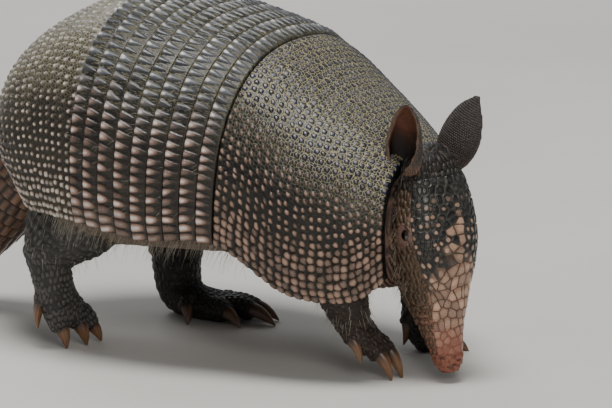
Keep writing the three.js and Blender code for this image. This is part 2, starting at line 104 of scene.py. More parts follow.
# Ears: share of the length, half width, half angle of the roll.
EAR_LENGTH = 40.0
EAR_THICK = 2.3
EAR_DEPTH = 0.6
EAR = [
    (0, 7, 158), (0.13, 9.6, 146), (0.3, 11, 124), (0.5, 10.7, 104), (0.7, 8.8, 90), (0.87, 5.6, 76),
    (1, 2, 60),
]
EAR_TIP = {"left": 0.0, "right": 1.6}  # how much rounder the tip is
EAR_ROOT = (7, 14.5, -1.5)
EAR_AXIS = (-33.5, 8.7, 19.7)
EAR_AIM = {"left": -20, "right": 12}

# Limbs and tail: centre of each section, its half width and half depth.
NECK = [
    (-30, 3, 77, 33, 27),
    (-14, 4, 80, 33, 29),
    (-4, 2.5, 81, 28, 27),
    (5, -2, 84, 22, 25),
    (15, -6, 86, 15, 20),
]
TAIL = [
    (-222, 0, 90, 21, 19),
    (-232, 0, 80, 22, 21),
    (-244, 0, 67, 20.5, 20),
    (-260, 0.5, 50, 18, 17.5),
    (-279, 2, 32.5, 15.6, 15.2),
    (-302, 6, 18, 13.2, 12.9),
    (-331, 13, 10.4, 11, 10.9),
    (-364, 22, 8.2, 9, 9),
    (-398, 30, 6.6, 7.2, 7.2),
    (-434, 34, 5.1, 5.6, 5.6),
    (-470, 33, 3.7, 4.1, 4.1),
    (-500, 28, 2.4, 2.7, 2.7),
]
# A toe is where it starts, where it ends, its radius, its claw's length and the way the claw points.
LEGS = {
    "fore_right": {
        "leg": [
            (-22, -40, 66, 15, 17), (-20, -41, 50, 13, 15), (-19, -37, 38, 10.5, 11.5),
            (-18, -33, 29, 9, 9.5),
        ],
        "foot": [(-20, -34, 31, 8, 8), (-16, -29, 23, 10, 7.5), (-12, -25.5, 17, 9, 6)],
        "toes": [
            ((-20, -34, 27), (-16, -37, 20), 4, 13, (6.6, -0.5, -11)),
            ((-14, -28, 19), (-6.5, -27, 12), 4.9, 15, (8, 0.5, -12)),
            ((-13, -22, 19), (-5.5, -19.5, 12.5), 4.7, 15.5, (7.5, 1.5, -12.5)),
            ((-17, -22, 22), (-14, -16, 15), 3.6, 10, (5, 2, -9)),
        ],
    },
    "fore_left": {
        "leg": [
            (-24, 40, 66, 15, 16), (-25, 41, 50, 13, 13.5), (-27, 42, 36, 10.5, 10.5),
            (-28.5, 43, 23, 9, 8.8),
        ],
        "foot": [
            (-29, 43, 23, 8.5, 8.2), (-28, 43.5, 13, 10, 8.5), (-22, 44, 6.1, 12, 7),
            (-18, 44.5, 4.4, 10.5, 5.4),
        ],
        "toes": [
            ((-29, 52, 9), (-24, 55.5, 4), 3.9, 9, (7, 3, -5)),
            ((-22, 48, 8.5), (-14, 50, 4.6), 4.6, 12, (9, 1.5, -4.4)),
            ((-22, 41, 8.5), (-14.5, 41, 4.6), 4.6, 12, (9, -1, -4.4)),
            ((-29, 38, 19), (-31, 34.5, 14), 3.6, 11.5, (0, -1.5, -11)),
        ],
    },
    "hind_right": {
        "leg": [
            (-166, -48, 80, 18, 27), (-173, -53, 68, 16, 25), (-181, -57, 57, 13.5, 19),
            (-187, -58, 47, 11.5, 13),
        ],
        "foot": [
            (-188, -58, 53, 11, 12), (-184, -58, 38, 10.6, 10), (-182, -56, 26, 11.5, 8.5),
            (-180, -50, 15, 14, 7),
        ],
        "toes": [
            ((-185, -63, 31), (-184.5, -66, 24), 4.2, 14, (-2.5, -0.5, -14)),
            ((-182, -57.5, 20), (-179.5, -58, 11.5), 5.2, 12.8, (5, 0.5, -11.5)),
            ((-180, -48, 18), (-175.5, -47, 10.8), 5.2, 12.2, (4.5, 2, -11)),
            ((-179, -41, 16), (-174, -37.5, 8.6), 4.7, 10, (5, 3, -8.5)),
            ((-181, -38, 17), (-178.5, -31.5, 10), 3.8, 8.5, (3, 2.5, -8)),
        ],
    },
    "hind_left": {
        "leg": [
            (-166, 46, 80, 18, 27), (-172, 47, 64, 16.5, 22), (-178, 46, 46, 13, 17),
            (-179, 45, 30, 11.5, 14.5),
        ],
        "foot": [
            (-179, 45, 30, 11, 13), (-176, 45, 13, 11, 11.5), (-167, 44, 8, 11.5, 8.5),
            (-155, 43, 7, 13.5, 7.4), (-145, 43, 5.8, 13.5, 6),
        ],
        "toes": [
            ((-156, 55, 8), (-146, 60, 5), 4.2, 10, (8, 3, -4)),
            ((-147, 51, 8), (-135, 54, 5.6), 5, 14, (13, 2, -5)),
            ((-145, 44, 8.5), (-132, 44.5, 6), 5.4, 16, (15, 0.5, -5.5)),
            ((-150, 37, 8), (-140, 34, 5.8), 5, 12.5, (11, -3, -5.4)),
            ((-163, 33, 9), (-160, 27, 7), 4.2, 10, (4.5, -5, -6.5)),
        ],
    },
}

# ---- numbers ----


def spline(values, u):
    """Catmull-Rom value at place u of a list of numbers or of points; u may be an array."""
    values = np.asarray(values, float)
    u = np.asarray(u, float)
    last = len(values) - 1
    i = np.clip(np.floor(u).astype(int), 0, last - 1)
    f = u - i
    if values.ndim == 2:
        f = f[..., None]
    a, b, c, d = (values[np.clip(i + k, 0, last)] for k in (-1, 0, 1, 2))
    return 0.5 * (2 * b + (c - a) * f + (2 * a - 5 * b + 4 * c - d) * f**2 + (3 * b - a - 3 * c + d) * f**3)


def ease(low, high, value):
    """0 below low, 1 above high, smooth between them."""
    x = np.clip((value - low) / (high - low), 0, 1)
    return x * x * (3 - 2 * x)


def signed_power(value, power):
    """A power that keeps the sign, for superellipses."""
    return np.sign(value) * np.abs(value) ** power


def unit(vectors):
    """Vectors brought to length one."""
    vectors = np.asarray(vectors, float)
    return vectors / np.maximum(np.linalg.norm(vectors, axis=-1, keepdims=True), 1e-9)


def full_turn(count):
    """Angles evenly round a circle."""
    return np.linspace(0, 2 * math.pi, count, endpoint=False)


NOISE_SIZE = 32
NOISE_LATTICE = np.random.default_rng(7).random((NOISE_SIZE,) * 3)


def noise(points, size):
    """Smooth noise from -1 to 1 with blotches of about the given size."""
    p = np.asarray(points, float) / size
    cell = np.floor(p).astype(int)
    f = p - cell
    f = f * f * (3 - 2 * f)
    total = 0
    for corner in np.ndindex(2, 2, 2):
        weight = np.prod(np.where(np.array(corner) == 1, f, 1 - f), axis=-1)
        index = (cell + np.array(corner)) % NOISE_SIZE
        total = total + weight * NOISE_LATTICE[index[..., 0], index[..., 1], index[..., 2]]
    return 2 * total - 1


# ---- shapes of the body ----


def torso_size(key, u):
    """One column of the torso's table at station number u."""
    column = TORSO_KEYS.index(key)
    return spline([station[column] for station in TORSO], u)


def torso_point(u, t, inset=0.0, trunk=False):
    """A point of the torso at station number u and angle t from the top, inset from the outer face."""
    c, s = np.cos(t), np.sin(t)
    wide = torso_size("wide", u) - inset
    up = torso_size("up", u) - inset
    lower = torso_size("belly", u) if trunk else torso_size("down", u) - inset
    power = np.where(c > 0, UPPER_POWER, LOWER_POWER)
    across = wide * signed_power(s, 2 / power)
    height = np.where(c > 0, up, -lower) * np.abs(c) ** (2 / power)
    lean, turn = np.radians(torso_size("tilt", u)), np.radians(torso_size("turn", u))
    return np.stack(
        [
            torso_size("x", u) - np.sin(lean) * height - across * np.sin(turn),
            torso_size("y", u) + across * np.cos(turn),
            torso_size("z", u) + np.cos(lean) * height,
        ],
        axis=-1,
    )


def head_frame():
    """The head's own axes as rows: along it, to its left and towards the face."""
    heading, pitch = math.radians(HEAD_HEADING), math.radians(HEAD_PITCH)
    ch, sh, cp, sp = math.cos(heading), math.sin(heading), math.cos(pitch), math.sin(pitch)
    along = (ch * cp, sh * cp, -sp)
    left = (-sh, ch, 0)
    face = (ch * sp, sh * sp, cp)
    return np.array([along, left, face])


HEAD_AXES = head_frame()


def from_head(local):
    """Body places of places given in the head's axes."""
    return np.asarray(local) @ HEAD_AXES + np.array(CROWN)


def to_head(points):
    """Places in the head's axes of places on the body."""
    return (np.asarray(points) - np.array(CROWN)) @ HEAD_AXES.T


def mirrored(place, side):
    """A place or a way given for the left, for side 1 the left or -1 the right."""
    return np.array([place[0], side * place[1], place[2]])


def head_point(a, t, inset=0.0):
    """A point of the head, in its own axes, at share a of its length and angle t from mid-face."""
    shares = [station[0] for station in HEAD]
    u = np.interp(a, shares, np.arange(len(shares)))
    _, z, wide, up, down = (spline([station[i] for station in HEAD], u) for i in range(5))
    c, s = np.cos(t), np.sin(t)
    reach = np.where(c > 0, up, down) - inset
    along, across = a * HEAD_LENGTH, (wide - inset) * signed_power(s, 2 / HEAD_POWER)
    height = z + reach * signed_power(c, 2 / HEAD_POWER)
    return np.stack(np.broadcast_arrays(along, across, height), axis=-1)


def shield_reach(a):
    """Half angle that the plates cover at a share of the head's length."""
    share = (a - SHIELD_FROM) / (SHIELD_TO - SHIELD_FROM)
    crown = np.clip(share, 0, 1)
    return np.radians(64 - 14 * crown + 10 * np.sin(math.pi * crown) + 58 * np.clip(share - 1, 0, 1))


def tube_point(stations, u, t, grow=0.0):
    """A point of a bent tube at station number u and angle t round it."""
    stations = np.asarray(stations, float)
    place = spline(stations[:, :3], u)
    step = 0.01
    forward = unit(spline(stations[:, :3], u + step) - spline(stations[:, :3], u - step))
    across = unit(np.array([0, 1, 0]) - forward * forward[..., 1:2])
    deep = np.cross(forward, across)
    radii = spline(stations[:, 3:], u) + grow
    wide, tall = radii[..., 0:1] * np.cos(t)[..., None], radii[..., 1:2] * np.sin(t)[..., None]
    return place + across * wide + deep * tall


# ---- meshes ----


def grid_faces(rows, columns, start=0, closed=False):
    """Quads of a grid with rows + 1 rows of points; closed joins the last column to the first."""
    wide = columns if closed else columns + 1
    r, k = np.meshgrid(np.arange(rows), np.arange(columns), indexing="ij")
    a = r * wide + k
    b = r * wide + (k + 1) % wide
    return start + np.stack([a, b, b + wide, a + wide], axis=-1).reshape(-1, 4)


def zipper(first, second):
    """Triangles between two runs of vertex numbers that lie side by side."""
    i = j = 0
    faces = []
    while i < len(first) - 1 or j < len(second) - 1:
        ahead = (i + 1) / max(len(first) - 1, 1) <= (j + 1) / max(len(second) - 1, 1)
        if j == len(second) - 1 or (ahead and i < len(first) - 1):
            faces.append((first[i], first[i + 1], second[j]))
            i += 1
        else:
            faces.append((first[i], second[j + 1], second[j]))
            j += 1
    return np.array(faces)


def build_piece(name, points, faces, material, values=None, uv=None, facet_values=None):
    """A mesh object from points in body millimetres, riding on the body.

    faces: arrays of quads and triangles; values: numbers for each point, with 0 for the last ones where
    they run out; facet_values: numbers for each corner of the first faces, (faces, corners), where the
    rest are away from any seam."""
    mesh = bpy.data.meshes.new(name)
    places = (np.asarray(points) + np.array([SNOUT_TO_MIDDLE, 0, 0])) * MM
    loops = np.concatenate([np.ravel(block) for block in faces]).astype(np.int32)
    sizes = np.concatenate([np.full(len(block), block.shape[1]) for block in faces])
    mesh.vertices.add(len(places))
    mesh.vertices.foreach_set("co", places.astype(np.float32).ravel())
    mesh.loops.add(len(loops))
    mesh.loops.foreach_set("vertex_index", loops)
    mesh.polygons.add(len(sizes))
    mesh.polygons.foreach_set("loop_start", (np.cumsum(sizes) - sizes).astype(np.int32))
    mesh.update(calc_edges=True)
    for domain, count, numbers in (("POINT", len(places), values), ("CORNER", len(loops), facet_values)):
        for key, data in (numbers or {}).items():
            whole = np.full(count, float(key == "seam"), np.float32)
            whole[: np.size(data)] = np.ravel(data)
            mesh.attributes.new(key, "FLOAT", domain).data.foreach_set("value", whole)
    if uv is not None:
        layer = mesh.uv_layers.new(name="OFBake")
        layer.data.foreach_set("uv", np.asarray(uv, np.float32).ravel())
    mesh.validate()
    mesh.shade_smooth()
    mesh.materials.append(material)
    piece = bpy.data.objects.new(name, mesh)
    bpy.context.scene.collection.objects.link(piece)
    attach(piece, "root")
    return piece


def plate_mesh(outer, inner, strips):
    """Closed plate from a fine outer sheet and a coarse inner one, both (rows, columns, 3), and its map.

    The map cuts the outer sheet across its columns into strips, laid under each other to fill a square."""
    rows, columns = outer.shape[0] - 1, outer.shape[1] - 1
    rough_rows, rough_columns = inner.shape[0] - 1, inner.shape[1] - 1
    points = np.concatenate([outer.reshape(-1, 3), inner.reshape(-1, 3)])
    start = outer.shape[0] * outer.shape[1]
    sheet = grid_faces(rows, columns)
    back = grid_faces(rough_rows, rough_columns, start)[:, ::-1]
    fine = np.arange(start).reshape(rows + 1, columns + 1)
    rough = start + np.arange(len(points) - start).reshape(rough_rows + 1, rough_columns + 1)
    sides = [
        zipper(fine[0], rough[0])[:, ::-1],
        zipper(fine[-1], rough[-1]),
        zipper(fine[:, 0], rough[:, 0]),
        zipper(fine[:, -1], rough[:, -1])[:, ::-1],
    ]
    seams = np.concatenate(sides)
    # texture map: strips for the outer sheet, a narrow band at the top for the rest
    used = 0.93
    r, k = np.divmod(sheet, columns + 1)
    per_strip = columns / strips
    strip = np.floor((k.min(axis=1) + 0.5) / per_strip)[:, None]
    margin = 0.004
    along = margin + (1 - 2 * margin) * (k / per_strip - strip)
    down = used * (strip + margin + (1 - 2 * margin * strips) * r / rows) / strips
    sheet_uv = np.stack([along, down], axis=-1).reshape(-1, 2)
    shares = []
    for down_count, across_count in ((rows, columns), (rough_rows, rough_columns)):
        down_share, across_share = np.linspace(0, 1, down_count + 1), np.linspace(0, 1, across_count + 1)
        grid = np.meshgrid(down_share, across_share, indexing="ij")
        shares.append(np.stack([grid[1].ravel(), grid[0].ravel()], axis=-1))
    rest = np.concatenate(shares) * [1, 0.99 - used] + [0, used + 0.005]
    uv = np.concatenate([sheet_uv, rest[back.ravel()], rest[seams.ravel()]])
    return points, [sheet, back, seams], uv


# ---- shader node groups and materials ----


def srgb(code):
    """Linear colour of a hexadecimal sRGB code."""
    parts = [int(code[i : i + 2], 16) / 255 for i in (0, 2, 4)]
    return tuple(p / 12.92 if p <= 0.04045 else ((p + 0.055) / 1.055) ** 2.4 for p in parts) + (1.0,)


def node(tree, kind, inputs=None, **properties):
    """A shader node; inputs maps a socket's name or number to a value or to another node's output."""
    made = tree.nodes.new(kind)
    for key, value in properties.items():
        setattr(made, key, value)
    for key, value in (inputs or {}).items():
        if isinstance(value, bpy.types.NodeSocket):
            tree.links.new(value, made.inputs[key])
        else:
            made.inputs[key].default_value = value
    return made


def mix_colour(tree, share, a, b):
    """Colour a where share is 0, colour b where it is 1."""
    return node(tree, "ShaderNodeMix", {0: share, 6: a, 7: b}, data_type="RGBA").outputs[2]


def shaded(tree, colour, share):
    """A colour made darker or paler by a share of itself."""
    return node(tree, "ShaderNodeVectorMath", {0: colour, "Scale": share}, operation="SCALE").outputs[0]


def ramp(tree, value, low, high, to_low=0.0, to_high=1.0):
    """Smooth step from to_low where value is low to to_high where it is high."""
    inputs = {"Value": value, "From Min": low, "From Max": high, "To Min": to_low, "To Max": to_high}
    return node(tree, "ShaderNodeMapRange", inputs, interpolation_type="SMOOTHSTEP").outputs["Result"]


def maths(tree, operation, a, b=0.0):
    """One sum, product or other step of arithmetic."""
    return node(tree, "ShaderNodeMath", {0: a, 1: b}, operation=operation).outputs[0]


def reading(tree, name):
    """A number that the mesh carries."""
    return node(tree, "ShaderNodeAttribute", attribute_name=name).outputs["Fac"]


def new_group(name, inputs, outputs):
    """An empty node group; inputs maps names to defaults, outputs maps names to socket kinds."""
    group = bpy.data.node_groups.new(name, "ShaderNodeTree")
    for key, default in inputs.items():
        kind = "NodeSocketColor" if isinstance(default, tuple) else "NodeSocketFloat"
        group.interface.new_socket(key, in_out="INPUT", socket_type=kind).default_value = default
    for key, kind in outputs.items():
        group.interface.new_socket(key, in_out="OUTPUT", socket_type=kind)
    return group, node(group, "NodeGroupInput").outputs, node(group, "NodeGroupOutput").inputs


def grain_group():
    """Fine grain, broad blotches and cracks, all from the place on the animal."""
    outputs = {"Grain": "NodeSocketFloat", "Blotch": "NodeSocketFloat", "Cracks": "NodeSocketFloat"}
    group, given, result = new_group("grain of horn and hide", {"Fine": 2200.0, "Broad": 60.0}, outputs)
    place = node(group, "ShaderNodeTexCoord").outputs["Object"]
    inputs = {"Vector": place, "Scale": given["Fine"], "Detail": 4.0, "Roughness": 0.6}
    fine = node(group, "ShaderNodeTexNoise", inputs)
    broad = node(group, "ShaderNodeTexNoise", {"Vector": place, "Scale": given["Broad"], "Detail": 5.0})
    cracks = node(
        group, "ShaderNodeTexVoronoi", {"Vector": place, "Scale": given["Fine"]}, feature="DISTANCE_TO_EDGE"
    )
    group.links.new(fine.outputs["Fac"], result["Grain"])
    group.links.new(broad.outputs["Fac"], result["Blotch"])
    group.links.new(ramp(group, cracks.outputs["Distance"], 0.0, 0.12), result["Cracks"])
    return group


# What a scute material reads at each place: share of a large scute, of a seam, its tone and how high it is.
SCUTE_READINGS = ("Main", "Net", "Tone", "Rise")
SCUTE_COLOURS = "Main Top,Main Flank,Main Edge,Small Top,Small Flank,Net Top,Net Flank,Tip".split(",")


def shield_group():
    """Reads which scute a place belongs to; every facet knows two scutes and the seam between them."""
    outputs = {key: "NodeSocketFloat" for key in SCUTE_READINGS}
    group, given, result = new_group("reading of a shield", {"Seam Width": 0.2, "Reach": 1.4}, outputs)
    seam = reading(group, "seam")
    here = maths(group, "GREATER_THAN", seam, 0.0)

    def pick(key):
        inputs = {0: here, 2: reading(group, key + "_next"), 3: reading(group, key + "_here")}
        return node(group, "ShaderNodeMix", inputs).outputs[0]

    group.links.new(pick("kind"), result["Main"])
    group.links.new(pick("tone"), result["Tone"])
    half_width = maths(group, "MULTIPLY", given["Seam Width"], 0.5)
    wide = maths(group, "MULTIPLY", given["Seam Width"], 1.6)
    net = ramp(group, maths(group, "ABSOLUTE", seam), half_width, wide, 1.0, 0.0)
    group.links.new(net, result["Net"])
    reach = maths(group, "ADD", given["Reach"], maths(group, "MULTIPLY", reading(group, "low"), 0.9))
    near = maths(group, "DIVIDE", pick("middle"), reach)
    group.links.new(ramp(group, near, 0.25, 1.0, 1.0, 0.0), result["Rise"])
    return group


def scute_group():
    """Colour and roughness of horn scutes: large and small, on back and flank, and their seams, with a
    painted highlight on top of each raised scute and painted shade down the sides of the flank's large ones.
    """
    given_values = {key: 0.0 for key in SCUTE_READINGS + ("Flank", "Tip Share")}
    given_values.update({key: srgb("5a4a3e") for key in SCUTE_COLOURS})
    outputs = {"Color": "NodeSocketColor", "Roughness": "NodeSocketFloat"}
    group, given, result = new_group("horn scutes", given_values, outputs)
    flank, main, net, tone, rise = (given[key] for key in ("Flank",) + SCUTE_READINGS)
    # painted shade: on the flank a large scute has the Main Flank colour on its top and darkens to the Main
    # Edge colour down its low sides
    shaded_flank_main = mix_colour(group, ramp(group, rise, 0.0, 0.55), given["Main Edge"], given["Main Flank"])
    large = mix_colour(group, flank, given["Main Top"], shaded_flank_main)
    # on the flank the small scutes are darker: partly the horn's own colour, partly painted shade where the
    # shell curves under
    small = mix_colour(group, flank, given["Small Top"], given["Small Flank"])
    plates = mix_colour(group, main, small, large)
    # painted highlight: the Tip colour lies on the top of each raised large scute, by how high it rises
    tip = maths(group, "MULTIPLY", ramp(group, rise, 0.55, 1.0), main)
    plates = mix_colour(group, maths(group, "MULTIPLY", tip, given["Tip Share"]), plates, given["Tip"])
    plates = shaded(group, plates, ramp(group, tone, 0.0, 1.0, 0.58, 1.46))
    # the seams likewise: darker on the flank, partly painted shade
    seams = mix_colour(group, flank, given["Net Top"], given["Net Flank"])
    group.links.new(mix_colour(group, net, plates, seams), result["Color"])
    rough = maths(group, "ADD", maths(group, "MULTIPLY", net, 0.3), ramp(group, tone, 0.0, 1.0, 0.3, 0.42))
    polish = maths(group, "MULTIPLY", maths(group, "MULTIPLY", rise, main), 0.1)
    rough = maths(group, "SUBTRACT", rough, polish)
    group.links.new(rough, result["Roughness"])
    return group


GRAIN = grain_group()
SCUTES = scute_group()
SHIELD_READING = shield_group()


def principled(name, coat=0.0, coat_roughness=0.2, specular=0.5):
    """A material with one Principled shader; returns the material, its tree and the shader."""
    material = bpy.data.materials.new(name)
    material.use_nodes = True
    tree = material.node_tree
    shader = tree.nodes["Principled BSDF"]
    shader.inputs["Coat Weight"].default_value = coat
    shader.inputs["Coat Roughness"].default_value = coat_roughness
    shader.inputs["Specular IOR Level"].default_value = specular
    return material, tree, shader


def grain_in(tree, **scales):
    """Outputs of the grain group; scales: how fine or broad it is, where not as usual."""
    return node(tree, "ShaderNodeGroup", scales, node_tree=GRAIN).outputs


def grained(tree, grain, low, high):
    """A number that follows the fine grain, from low to high."""
    return ramp(tree, grain["Grain"], 0.3, 0.7, low, high)


def set_surface(tree, shader, grain, colour, shades, gloss):
    """Gives a shader its colour and roughness; shades, gloss: from where to where the grain spreads them."""
    tree.links.new(shaded(tree, colour, grained(tree, grain, *shades)), shader.inputs["Base Color"])
    tree.links.new(grained(tree, grain, *gloss), shader.inputs["Roughness"])


def bumpy(tree, shader, heights):
    """Bump nodes in a row, each (height socket, strength, distance in metres)."""
    normal = None
    for height, strength, distance in heights:
        inputs = {"Height": height, "Strength": strength, "Distance": distance}
        if normal is not None:
            inputs["Normal"] = normal
        normal = node(tree, "ShaderNodeBump", inputs).outputs["Normal"]
    tree.links.new(normal, shader.inputs["Normal"])


GROOVE_DEPTH = 0.25  # of the seams between the scutes, in the bump


def horn_material(name, dust, dust_colour, seams=None, reach=1.4, blush=None, **colours):
    """Horn plates of the shell: scute colours, dust in blotches, fine grain in colour, gloss and bump.

    seams: millimetres across a seam where the facets know their scutes, None where the points carry the
    values; blush: colour of the plates where the horn thins towards the nose."""
    material, tree, shader = principled(name, coat=0.1, coat_roughness=0.22, specular=0.5)
    scutes = node(tree, "ShaderNodeGroup", node_tree=SCUTES)
    for key, value in colours.items():
        socket = scutes.inputs[key.replace("_", " ").title()]
        socket.default_value = value if isinstance(value, float) else srgb(value)
    if seams is None:
        given = {key: reading(tree, key.lower()) for key in SCUTE_READINGS}
    else:
        given = node(tree, "ShaderNodeGroup", node_tree=SHIELD_READING)
        given.inputs["Seam Width"].default_value = seams
        given.inputs["Reach"].default_value = reach
        given = given.outputs
    for key in SCUTE_READINGS:
        tree.links.new(given[key], scutes.inputs[key])
    tree.links.new(reading(tree, "flank"), scutes.inputs["Flank"])
    grain = grain_in(tree)
    blotch = ramp(tree, grain["Blotch"], 0.45, 0.7, 0.0, dust)
    colour = mix_colour(tree, blotch, scutes.outputs["Color"], srgb(dust_colour))
    if blush is not None:
        flush = maths(tree, "MULTIPLY", reading(tree, "blush"), 0.85)
        colour = mix_colour(tree, flush, colour, srgb(blush))
    colour = shaded(tree, colour, grained(tree, grain, 0.8, 1.18))
    tree.links.new(colour, shader.inputs["Base Color"])
    rough = maths(tree, "ADD", scutes.outputs["Roughness"], grained(tree, grain, -0.06, 0.12))
    rough = maths(tree, "ADD", rough, maths(tree, "MULTIPLY", blotch, 0.3))
    tree.links.new(rough, shader.inputs["Roughness"])
    bumpy(tree, shader, [(maths(tree, "SUBTRACT", 1.0, given["Net"]), 0.6, GROOVE_DEPTH * MM),
                         (grain["Grain"], 0.35, 0.0002)])
    return material


# In these tables tip is the colour of a painted highlight on each raised scute, tip_share its strength, and
# main_edge the painted shade down the flank's large scutes. The shoulder shield's main_top is dark slate
# horn tinted blue as a painted reflection of the sky. The flank colours are darker partly as painted shade.
SCAPULAR_HORN = horn_material(
    "horn of the shoulder shield", 0.06, "6d664c", seams=0.13, reach=1.7,
    main_top="182135", main_flank="715748", main_edge="1a1410", small_top="1c2126", small_flank="0c0a08",
    net_top="a89f78", net_flank="2a2419", tip="b39b8a", tip_share=0.32,
)
PELVIC_HORN = horn_material(
    "horn of the hip shield", 0.12, "6a6344", seams=0.16, reach=1.45,
    main_top="88857e", main_flank="7d6a5a", main_edge="261f18", small_top="3b3931", small_flank="15110d",
    net_top="a0967a", net_flank="3d3527", tip="ded8ce", tip_share=0.55,
)
BAND_HORN = horn_material(
    "horn of the bands", 0.08, "6d6450",
    main_top="505357", main_flank="866a5b", main_edge="302319", small_top="131517", small_flank="130e0a",
    net_top="8a8158", net_flank="6b5b45", tip="e2dcd8", tip_share=0.62,
)
HEAD_HORN = horn_material(
    "horn of the head plates", 0.06, "4c463c", seams=0.17, reach=2.2, blush="8d5340",
    main_top="0f1011", main_flank="a98872", main_edge="94735d", small_top="1b1b1d", small_flank="8d7561",
    net_top="4f493c", net_flank="4a3124", tip="cbbaa8", tip_share=0.05,
)
TAIL_HORN = horn_material(
    "horn of the tail", 0.12, "5a4f3e",
    main_top="6e4d37", main_flank="6e4d37", main_edge="4b3526", small_top="35271e", small_flank="35271e",
    net_top="2f2119", net_flank="2f2119", tip="9c7658", tip_share=0.3,
)


# ---- scutes ----

SMALL_RADIUS = 0.35  # of the small scutes
# Where they lie round a large one, as shares of the pitch across and along: on its seams and its corners.
SMALL_PLACES = [(0.5, 0.0), (0.25, 0.5), (-0.25, 0.5), (0.5, 0.33), (0.0, 0.67)]


class ScuteRows:
    """Rows of staggered scutes over a plate, large ones with small ones between them.

    half: millimetres from ridge to margin along the plate; pitch: millimetres from one large scute to the
    next in a row; small_count: how many small ones to each large one; jitter: how far they stray."""

    def __init__(self, rows, half, pitch, seed, small_count=5, jitter=0.1):
        rng = np.random.default_rng(seed)
        across = 2 * np.interp(np.arange(rows) + 0.5, np.linspace(0, rows, len(half)), half) / pitch
        self.counts = np.round(across).astype(int)
        self.counts += (self.counts + np.arange(rows)) % 2
        shape = (rows, self.counts.max() + 4)
        self.rows, self.small_count = rows, small_count
        self.shifts = rng.normal(0, 1, shape + (6, 2)) * jitter
        self.shifts[..., 1:, :] *= 0.45
        self.sizes = rng.normal(0, 0.08, shape)
        self.tones = rng.random(shape + (6,))

    def nearest(self, v, q, half, row_step, large):
        """The nearest scute to each place and the next nearest: where it is, its radius, kind and tone.

        v: row coordinate; q: share of the way from ridge to margin; half, row_step: millimetres; large:
        radius."""
        keys = ("gap", "v", "q", "radius", "kind", "tone")
        first = {key: np.full(v.shape, 1e5) for key in keys}
        second = {key: np.full(v.shape, 1e5) for key in keys}
        for row_offset in (-1, 0, 1):
            wanted = np.floor(v).astype(int) + row_offset
            row = np.clip(wanted, 0, self.rows - 1)
            count = self.counts[row]
            for step in (-1, 0, 1):
                wanted_k = np.floor((q + 1) / 2 * count).astype(int) + step
                k = np.clip(wanted_k, -1, count)
                missing = np.where((row == wanted) & (k == wanted_k), 0.0, 1e4)
                places = [(0.0, 0.0)] + SMALL_PLACES[:self.small_count]
                for n, (across, ahead) in enumerate(places):
                    shift = self.shifts[row, k, n]
                    this = {
                        "v": row + 0.5 + ahead + shift[..., 1],
                        "q": (2 * (k + across + shift[..., 0]) + 1) / count - 1,
                        "radius": large * (1 + self.sizes[row, k]) if n == 0 else SMALL_RADIUS + 0 * v,
                        "kind": np.full(v.shape, float(n == 0)),
                        "tone": self.tones[row, k, n],
                    }
                    this["gap"] = scute_reach(this, v, q, half, row_step) - this["radius"] + missing
                    nearest = this["gap"] < first["gap"]
                    nearer = this["gap"] < second["gap"]
                    for key in keys:
                        runner_up = np.where(nearer, this[key], second[key])
                        second[key] = np.where(nearest, first[key], runner_up)
                        first[key] = np.where(nearest, this[key], first[key])
        return first, second


def scute_reach(scute, v, q, half, row_step):
    """Millimetres from places on a plate to the middles of scutes."""
    return np.hypot((q - scute["q"]) * half, (v - scute["v"]) * row_step)


def facet_scutes(pattern, faces, v, q, half, row_step, large):
    """For each corner of each facet: the two scutes that meet there, and millimetres past their seam."""
    v, q, half, row_step, large = (np.ravel(data + 0 * v)[faces] for data in (v, q, half, row_step, large))
    middle = [data.mean(axis=1) for data in (v, q, half, row_step, large)]
    here, there = pattern.nearest(*middle)
    values = {}
    for label, scute in (("here", here), ("next", there)):
        scute = {key: data[:, None] for key, data in scute.items()}
        reach = scute_reach(scute, v, q, middle[2][:, None], middle[3][:, None])
        values[f"middle_{label}"] = reach
        values[f"kind_{label}"] = scute["kind"] + 0 * v
        values[f"tone_{label}"] = scute["tone"] + 0 * v
        values[f"gap_{label}"] = reach - scute["radius"]
    values["seam"] = (values.pop("gap_next") - values.pop("gap_here")) / 2
    return values


def even_stations(first, last, count):
    """Station numbers that are evenly spaced along the flank."""
    u = np.linspace(first, last, 400)
    lengths = 0
    for angle in (0, 55, 95):
        path = torso_point(u, np.radians(angle) + 0 * u)
        steps = np.linalg.norm(np.diff(path, axis=0), axis=-1)
        lengths = lengths + np.concatenate([[0], np.cumsum(steps)])
    return np.interp(np.linspace(0, lengths[-1], count + 1), lengths, u)


def shell_sheet(u, columns, inset=0.0):
    """Places on the shell at stations u, even from margin to margin, with their angles and half widths."""
    share = np.linspace(-1, 1, 241)
    edge = np.radians(torso_size("edge", u))[:, None]
    path = torso_point(u[:, None] + 0 * share, edge * share, inset)
    length = np.cumsum(np.linalg.norm(np.diff(path, axis=1), axis=-1), axis=1)
    length = np.concatenate([np.zeros((len(u), 1)), length], axis=1)
    wanted = np.linspace(0, 1, columns + 1)
    t = np.stack([np.interp(wanted * row[-1], row, angles) for row, angles in zip(length, edge * share)])
    return torso_point(u[:, None] + 0 * t, t, inset), t, length[:, -1] / 2


def outward(sheet, middle):
    """Unit normals of a sheet, pointing away from a point inside."""
    normals = unit(np.cross(np.gradient(sheet, axis=1), np.gradient(sheet, axis=0)))
    return normals * np.sign(np.sum(normals * (sheet - middle), axis=-1))[..., None]


SHELL_CORE = np.array([-120.0, 0.0, 85.0])  # a place inside the shell


def rim_round(rows, columns, length, half, radius):
    """How far a sheet falls near its edges, where its rim is rounded, in millimetres."""
    v = np.linspace(0, 1, rows + 1)[:, None] * length
    h = np.linspace(0, 1, columns + 1)[None, :] * 2 * half[:, None]
    gap = np.minimum(np.minimum(h, 2 * half[:, None] - h), np.minimum(v, length - v))
    x = np.clip(1 - gap / radius, 0, 1)
    return radius * (1 - np.sqrt(1 - x * x * 0.98))


